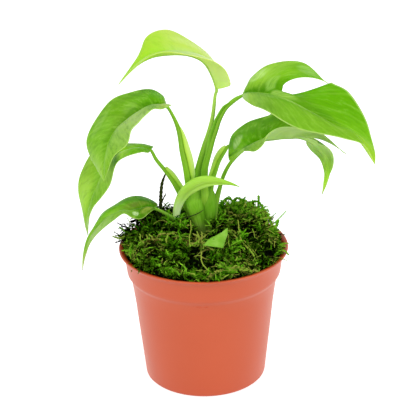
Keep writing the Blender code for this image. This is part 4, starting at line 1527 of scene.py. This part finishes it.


# %% Patches of one colour
# x, y, spread and tone of each patch, and the tones between the patches. The darkest
# patches lie over the gaps and hollows and are painted shade.
MOSS_PATCHES = [
    (16, 30, 8, 0.7), (28, 34, 8, 0.7),
    (-41, -9, 5, 0.24), (-42, 3, 5, 0.3), (-19, -20, 5, 0.3), (-11, -34, 6, 0.1),
    (-4, -34, 5, 0.06), (-27, -33, 5, 0.16), (24, -20, 8, 0.12), (24, -34, 6, 0.2),
    (40, -8, 5, 0.3), (39, 4, 6, 0.4), (-26, -8, 4, 0.5), (-19, -9, 4, 0.5),
    (26, -14, 9, 0.17), (36, -22, 8, 0.17), (14, -28, 7, 0.2), (-40, -17, 4, 0.74),
    (-14, 6, 6, 0.54), (-12, -12, 4, 0.34), (-26, 3, 6, 0.6), (14, -1, 5, 0.2),
    (-27, -12, 5, 0.34), (40, -28, 6, 0.14), (18, 30, 8, 0.6), (27, 36, 7, 0.6),
    (35, 26, 6, 0.74), (28, 4, 7, 0.06), (-41, -22, 5, 0.74), (-19, -2, 6, 0.66),
    (-19, 14, 6, 0.6), (30, 14, 7, 0.5), (8.5, 0.5, 4, 0.6), (-18, -5, 8, 0.6),
    (-15, -17, 5, 0.74), (-40, -22, 4, 0.78), (-46, -12, 4, 0.66), (-24, 12, 8, 0.52),
    (-20, -31, 9, 0.52), (-23, -41, 4, 0.6), (14, -7, 7, 0.56), (9, -25, 8, 0.4),
    (24, 14, 6, 0.3), (32, 20, 8, 0.52), (28, 33, 9, 0.68), (36, 28, 6, 0.72),
    (46, 0, 6, 0.6), (44, -9, 5, 0.82), (-36, -14, 7, 0.87), (-3, -10, 5, 0.86),
    (22, -33, 8, 0.89), (-41, 14, 8, 0.08), (-26, 28, 9, 0.1), (16, 19, 6, 0.14),
    (-5, -20, 7, 0.06), (38, -20, 7, 0.1), (6, -38, 6, 0.1), (-30, -28, 5, 0.1),
    (48, -14, 4, 0.16),
]
COMMON_TONES = (0.08, 0.16, 0.3, 0.42, 0.56, 0.68, 0.86)
print(len(MOSS_PATCHES), "patches")


def moss_tone(x, y, rng):
    """The tone of a patch that is near, or one of the common tones."""
    for at_x, at_y, spread, tone in MOSS_PATCHES:
        away = hypot(x - at_x, y - at_y) / spread
        if rng.random() < 0.9 * exp(-away * away):
            return tone
    return rng.choice(COMMON_TONES)


# %% Cushions
# Tries at a root that keeps its distance, how wide cushions spread in millimetres, how
# much a frond's tone strays from its cushion's, and tilts in degrees.
TRIES, CUSHION_SPREADS, TONE_SPREAD, FROND_TILTS = 30, (0.6, 1.8), 0.14, (-5, 50)


def cushions(name, count, each, seed, sizes=(0.5, 0.95), spots=(), apart=0.0, lifts=(-2, 0.8)):
    """Fronds that burst from shared roots: so many cushions of so many fronds each, at
    some spots or all over the mound, where their roots keep some way apart."""
    rng = Random(seed)
    bm, _ = patterned()
    roots = []
    for index in range(count):
        x, y = moss_spot(rng)
        for _ in range(TRIES):
            if all(hypot(x - at_x, y - at_y) > apart for at_x, at_y in roots):
                break
            x, y = moss_spot(rng)
        roots.append((x, y))
        if spots:
            at_x, at_y, spread = spots[index % len(spots)]
            x, y = rng.gauss(at_x, spread / 2), rng.gauss(at_y, spread / 2)
        tone = moss_tone(x, y, rng)
        spread = rng.uniform(*CUSHION_SPREADS)
        lift = rng.uniform(*lifts)
        for _ in range(each):
            at_x, at_y = x + rng.gauss(0, spread), y + rng.gauss(0, spread)
            if ring_at(at_x, at_y, GAPS) or not fits(at_x, at_y):
                continue
            turn = tame(at_x, at_y, rng.uniform(-pi, pi), rng)
            add_frond(
                bm, rng.choice(FEATHERS), moss_place(at_x, at_y, lift), turn,
                radians(rng.uniform(*FROND_TILTS)), rng.uniform(-1, 1), rng.uniform(*sizes),
                rng.gauss(tone, TONE_SPREAD),
            )
    trim(bm)
    piece(name, bm, [FROND], flat=True)


# %% The heap
# Deep fronds in dark tones, painted shade, fill the heap, cushions cover it, and others
# stand at the foot of the crown, at the back and round the rim.
scatter("moss_deep", 1100, 1, FEATHERS, -2.4, (0.18, 0.1), (-15, 25), (0.7, 1.0))
cushions("moss_cushions_a", 80, 14, 2, apart=5.5)
cushions("moss_cushions_b", 80, 14, 3, apart=5.5)
cushions("moss_foot", 5, 12, 7, (0.45, 0.7), [(8.5, 0.5, 3)])
BACK_SPOTS = [(18, 32, 7), (27, 32, 7), (35, 28, 6), (-29, 25, 6)]
cushions("moss_back", 34, 11, 5, (0.5, 0.8), BACK_SPOTS, lifts=(-1, 2))
# From the left round the front to the right, and again at the left front.
RIM_ANGLES = [*range(-190, 26, 6), *range(-172, -110, 3)]
RIM_RING, RIM_SPREAD = 47, 2.4
RIM_SPOTS = [
    (RIM_RING * cos(radians(angle)), RIM_RING * sin(radians(angle)), RIM_SPREAD)
    for angle in RIM_ANGLES
]
cushions("moss_rim", 171, 8, 6, (0.35, 0.6), RIM_SPOTS, lifts=(-1, 1))
STRAND_SPOTS = [(-36, -16, 9), (24, -24, 13), (40, -8, 9), (28, -2, 7), (2, -22, 8)]
scatter(
    "moss_strands", 170, 4, STRANDS, 0.0, (0.91, 0.05), (-8, 14), (0.5, 0.9), STRAND_SPOTS
)

# %% [markdown]
# ## Loose strands
#
# The longest strands are laid one by one: over the rim, round the crown, and standing
# out against the light at the back and at both sides.

# %% Laid strands
# A tone, a thickness and the points of each strand.
LAID_STRANDS = [
    (0.88, 1.9, [(1, -49.3, 88), (4.7, -48, 90.2), (9.5, -46.7, 91.8), (16, -44.7, 91.6),
                 (22.6, -42.5, 90.4), (28, -40, 88.4)]),
    (0.93, 1.6, [(3, -48.5, 88.2), (7, -46.7, 91), (13, -45.2, 92.2), (20, -43, 91.4),
                 (26, -41, 89.8)]),
    (0.88, 0.8, [(-1, -25, 94.2), (-1.6, -31, 93.2), (-0.5, -40, 92.6), (4, -47, 91)]),
    (0.87, 0.8, [(21.7, 8, 99.7), (22.7, -10, 96), (24.8, -18, 95), (28.4, -24, 94),
                (31.5, -33, 91)]),
    (0.7, 0.8, [(52.6, 22, 99), (47.4, 18, 95.2), (43, 14, 92.8), (38.5, 8, 91.5)]),
    (0.66, 1.4, [(47, 14, 97), (45.5, 12, 94), (43, 8, 92)]),
    (0.88, 1.0, [(18.5, -4, 95.5), (22.5, -11, 94.4), (27, -19, 92.8), (31.5, -27, 90.6)]),
    (0.9, 0.8, [(21, -3, 95), (25.5, -11, 93.6), (29, -18, 92.2), (31.8, -25, 91)]),
    (0.88, 0.7, [(-6.5, -5, 97), (-3, -9, 96.4), (-0.5, -14, 95), (0, -19, 93.4)]),
    (0.84, 0.8, [(2, -7, 97), (-1.5, -11, 96.2), (-5, -14, 94.8)]),
    (0.86, 0.6, [(-4, -4, 98), (-2.5, -10, 96.4), (-3.5, -17, 94)]),
    (0.88, 0.7, [(0, -17, 94.6), (3.5, -20, 94), (8, -23, 92.6), (9.5, -28, 91)]),
    (0.86, 0.6, [(15.5, -6, 96.5), (15.2, -13, 95), (16, -19, 93.4)]),
    (0.88, 0.6, [(-38, 2, 95.6), (-36.5, -4, 95), (-35.5, -10, 93.8)]),
    (0.86, 0.7, [(35, -14, 91), (38.2, -10, 92.8), (40.9, -3, 93.4), (43.5, 2, 93.6),
                 (48.4, 5, 93)]),
    (0.8, 1.4, [(36, -6, 92.5), (39, -9, 92.4), (44.4, -12, 91), (49.5, -14, 88.6),
                (51.4, -15, 86.4)]),
    (0.84, 1.1, [(-56.5, 0, 94), (-51.6, 0, 92.6), (-46.8, 4, 92.6), (-40, 6, 93)]),
    (0.1, 1.0, [(-53.5, 8, 99.3), (-49, 10, 95.4), (-43.6, 12, 93.4), (-38, 14, 94)]),
    (0.74, 0.7, [(-52.2, 4, 98.5), (-47.6, 4, 94.4), (-43, 5, 93)]),
    (0.84, 0.4, [(-42.6, 6, 95.2), (-37.9, -8, 94)]),
    (0.88, 0.6, [(-7.8, 2, 102.8), (-7.5, -3, 98.8), (-8.7, -12, 97), (-7.9, -20, 95.2)]),
    (0.6, 2.2, [(11, 28, 96), (12.5, 31, 101.6), (16, 33, 104), (20, 31, 101), (22.5, 27, 97)]),
    (0.68, 1.8, [(17, 36, 97), (21, 36, 102.6), (25.5, 35, 101.5), (29, 35, 99.5), (31, 34, 96)]),
    (0.62, 1.8, [(28, 33, 96), (31, 33, 101), (35, 32, 101.5), (38, 30, 98), (40, 27, 93)]),
    (0.72, 1.1, [(35.4, 33, 105.5), (35.2, 33, 101), (35, 33, 97)]),
    (0.64, 1.8, [(36, 26, 93), (39, 25, 97), (41, 23, 95.5), (43, 19, 91)]),
    (0.74, 1.4, [(14, 30, 97), (18, 31, 100), (23, 33, 101), (27, 33, 98)]),
    (0.66, 1.4, [(12, 25, 96), (10.5, 29, 99.5), (12, 33, 102)]),
    (0.87, 0.8, [(-31.2, 2, 94.4), (-34.5, -4, 93.8), (-34.7, -8, 93)]),
    (0.05, 1.6, [(-45.9, 14, 97.2), (-37.3, 17, 98.9), (-31.6, 18, 102.4), (-27, 18, 100)]),
    (0.98, 0.7, [(-29, 20, 101), (-25.1, 20, 109.5), (-23, 20, 111.9)]),
]
FIRST_SEED, LEAFLETS_PER_MM = 30, 1.6
laid, _ = patterned()
for number, (tone, thick, path) in enumerate(LAID_STRANDS):
    for twist in range(2 if thick > 1 else 1):
        sway = Vector((0.7 * twist, 0.5 * twist, -0.8 * twist))
        strand = frond_mesh(
            [Vector(point) + sway for point in path], FIRST_SEED + number * 2 + twist,
            core=0.4 + 0.35 * thick, leaflet=1.2 * thick**0.5, slim=0.24, foot=0.5,
            pairs=int(path_length(path) * LEAFLETS_PER_MM),
        )
        add_frond(laid, strand, (0, 0, 0), 0, 0, 0, 1, tone - 0.04 * twist)
piece("moss_laid_strands", laid, [FROND], flat=True)

# %% [markdown]
# ## Twig, tendril and cut leaf
#
# A few odd bits lie in the moss: a thin dark twig that stands upright, a dry tendril
# across the crown and a cut scrap of leaf. They are small, but they stop the heap from
# looking combed.


# %% Twig and tendril
def bark():
    twig = Finish("dry_twig")
    place = twig.place()
    flakes = twig.grain(place, 700, detail=4)
    colour = twig.ramp(flakes, *stops("30 141c06 55 343e10 75 5e6630"))
    return twig.coat(
        Base_Color=colour, Roughness=0.85, Normal=twig.bump(flakes, 0.0006),
        Specular_IOR_Level=0.2,
    )


BARK = bark()
twig = tube([
    (-27, 15, 88, 0.9, 0.9), (-26.4, 15.5, 106, 1.05, 1), (-26, 16, 114, 1.1, 1),
    (-25, 16, 122, 0.95, 0.9), (-22.6, 16.5, 128.6, 0.45, 0.45),
], sides=12, steps=8, outline=lambda turn, along: 1 + 0.2 * sin(along * 70) * cos(2 * turn))
tube([(-25.6, 16, 109, 0.5, 0.5), (-24, 15.5, 113, 0.4, 0.4), (-22.5, 15, 116, 0.2, 0.2)],
     sides=8, bm=twig)
piece("upright_twig", twig, [BARK], ["twig_upright"])
tendril = tube([
    (-20.6, 5.6, 99, 0.35, 0.35), (-15, 4.6, 103.4, 0.35, 0.35), (-9.5, 2.6, 104.6, 0.35, 0.35),
    (-3, 2.4, 107.2, 0.3, 0.3), (0.4, 2.6, 109.4, 0.2, 0.2),
], sides=8)
piece("dry_tendril_skin", tendril, [BARK], ["dry_tendril"])


# %% Cut scrap of leaf
def scrap_finish():
    """A pale cut leaf with a few brown dots."""
    leaf = Finish("leaf_scrap")
    place = leaf.place()
    cloud = leaf.grain(place, 160, detail=4)
    dots = leaf.node("TexVoronoi", None, {"Vector": place, "Scale": 210.0})
    colour = leaf.ramp(cloud, *stops("30 74ac30 50 84bc3c 70 98c852"))
    colour = leaf.mix(dots.step(0.2, 0.1) * 0.7, colour, paint("4c6a20"))
    return leaf.coat(
        Base_Color=colour, Roughness=0.45, Normal=leaf.bump(cloud, 0.0004),
        Specular_IOR_Level=0.25, **GLOW,
    )


SCRAP_THICKNESS = 0.0004
SCRAP_OUTLINE = [
    (-0.5, -21, 96.3), (4, -16, 98.8), (11, -10.5, 99.8), (15, -7, 101.6),
    (15, -10.5, 98.3), (13.5, -15, 96.8), (12, -22, 94.8), (5.5, -22, 95.8),
]
scrap = bmesh.new()
scrap.faces.new([scrap.verts.new(mm(*point)) for point in SCRAP_OUTLINE])
bmesh.ops.triangulate(scrap, faces=scrap.faces[:])
bmesh.ops.subdivide_edges(scrap, edges=scrap.edges[:], cuts=4, use_grid_fill=True, smooth=0.2)
bmesh.ops.recalc_face_normals(scrap, faces=scrap.faces)
if sum(face.normal.z for face in scrap.faces) < 0:
    bmesh.ops.reverse_faces(scrap, faces=scrap.faces)
for vert in scrap.verts:
    vert.co.z += 0.0003 * noise.noise(vert.co * 300)
cut = piece("leaf_scrap", scrap, [scrap_finish()], ["leaf_fragment"])
thicken(cut, SCRAP_THICKNESS)
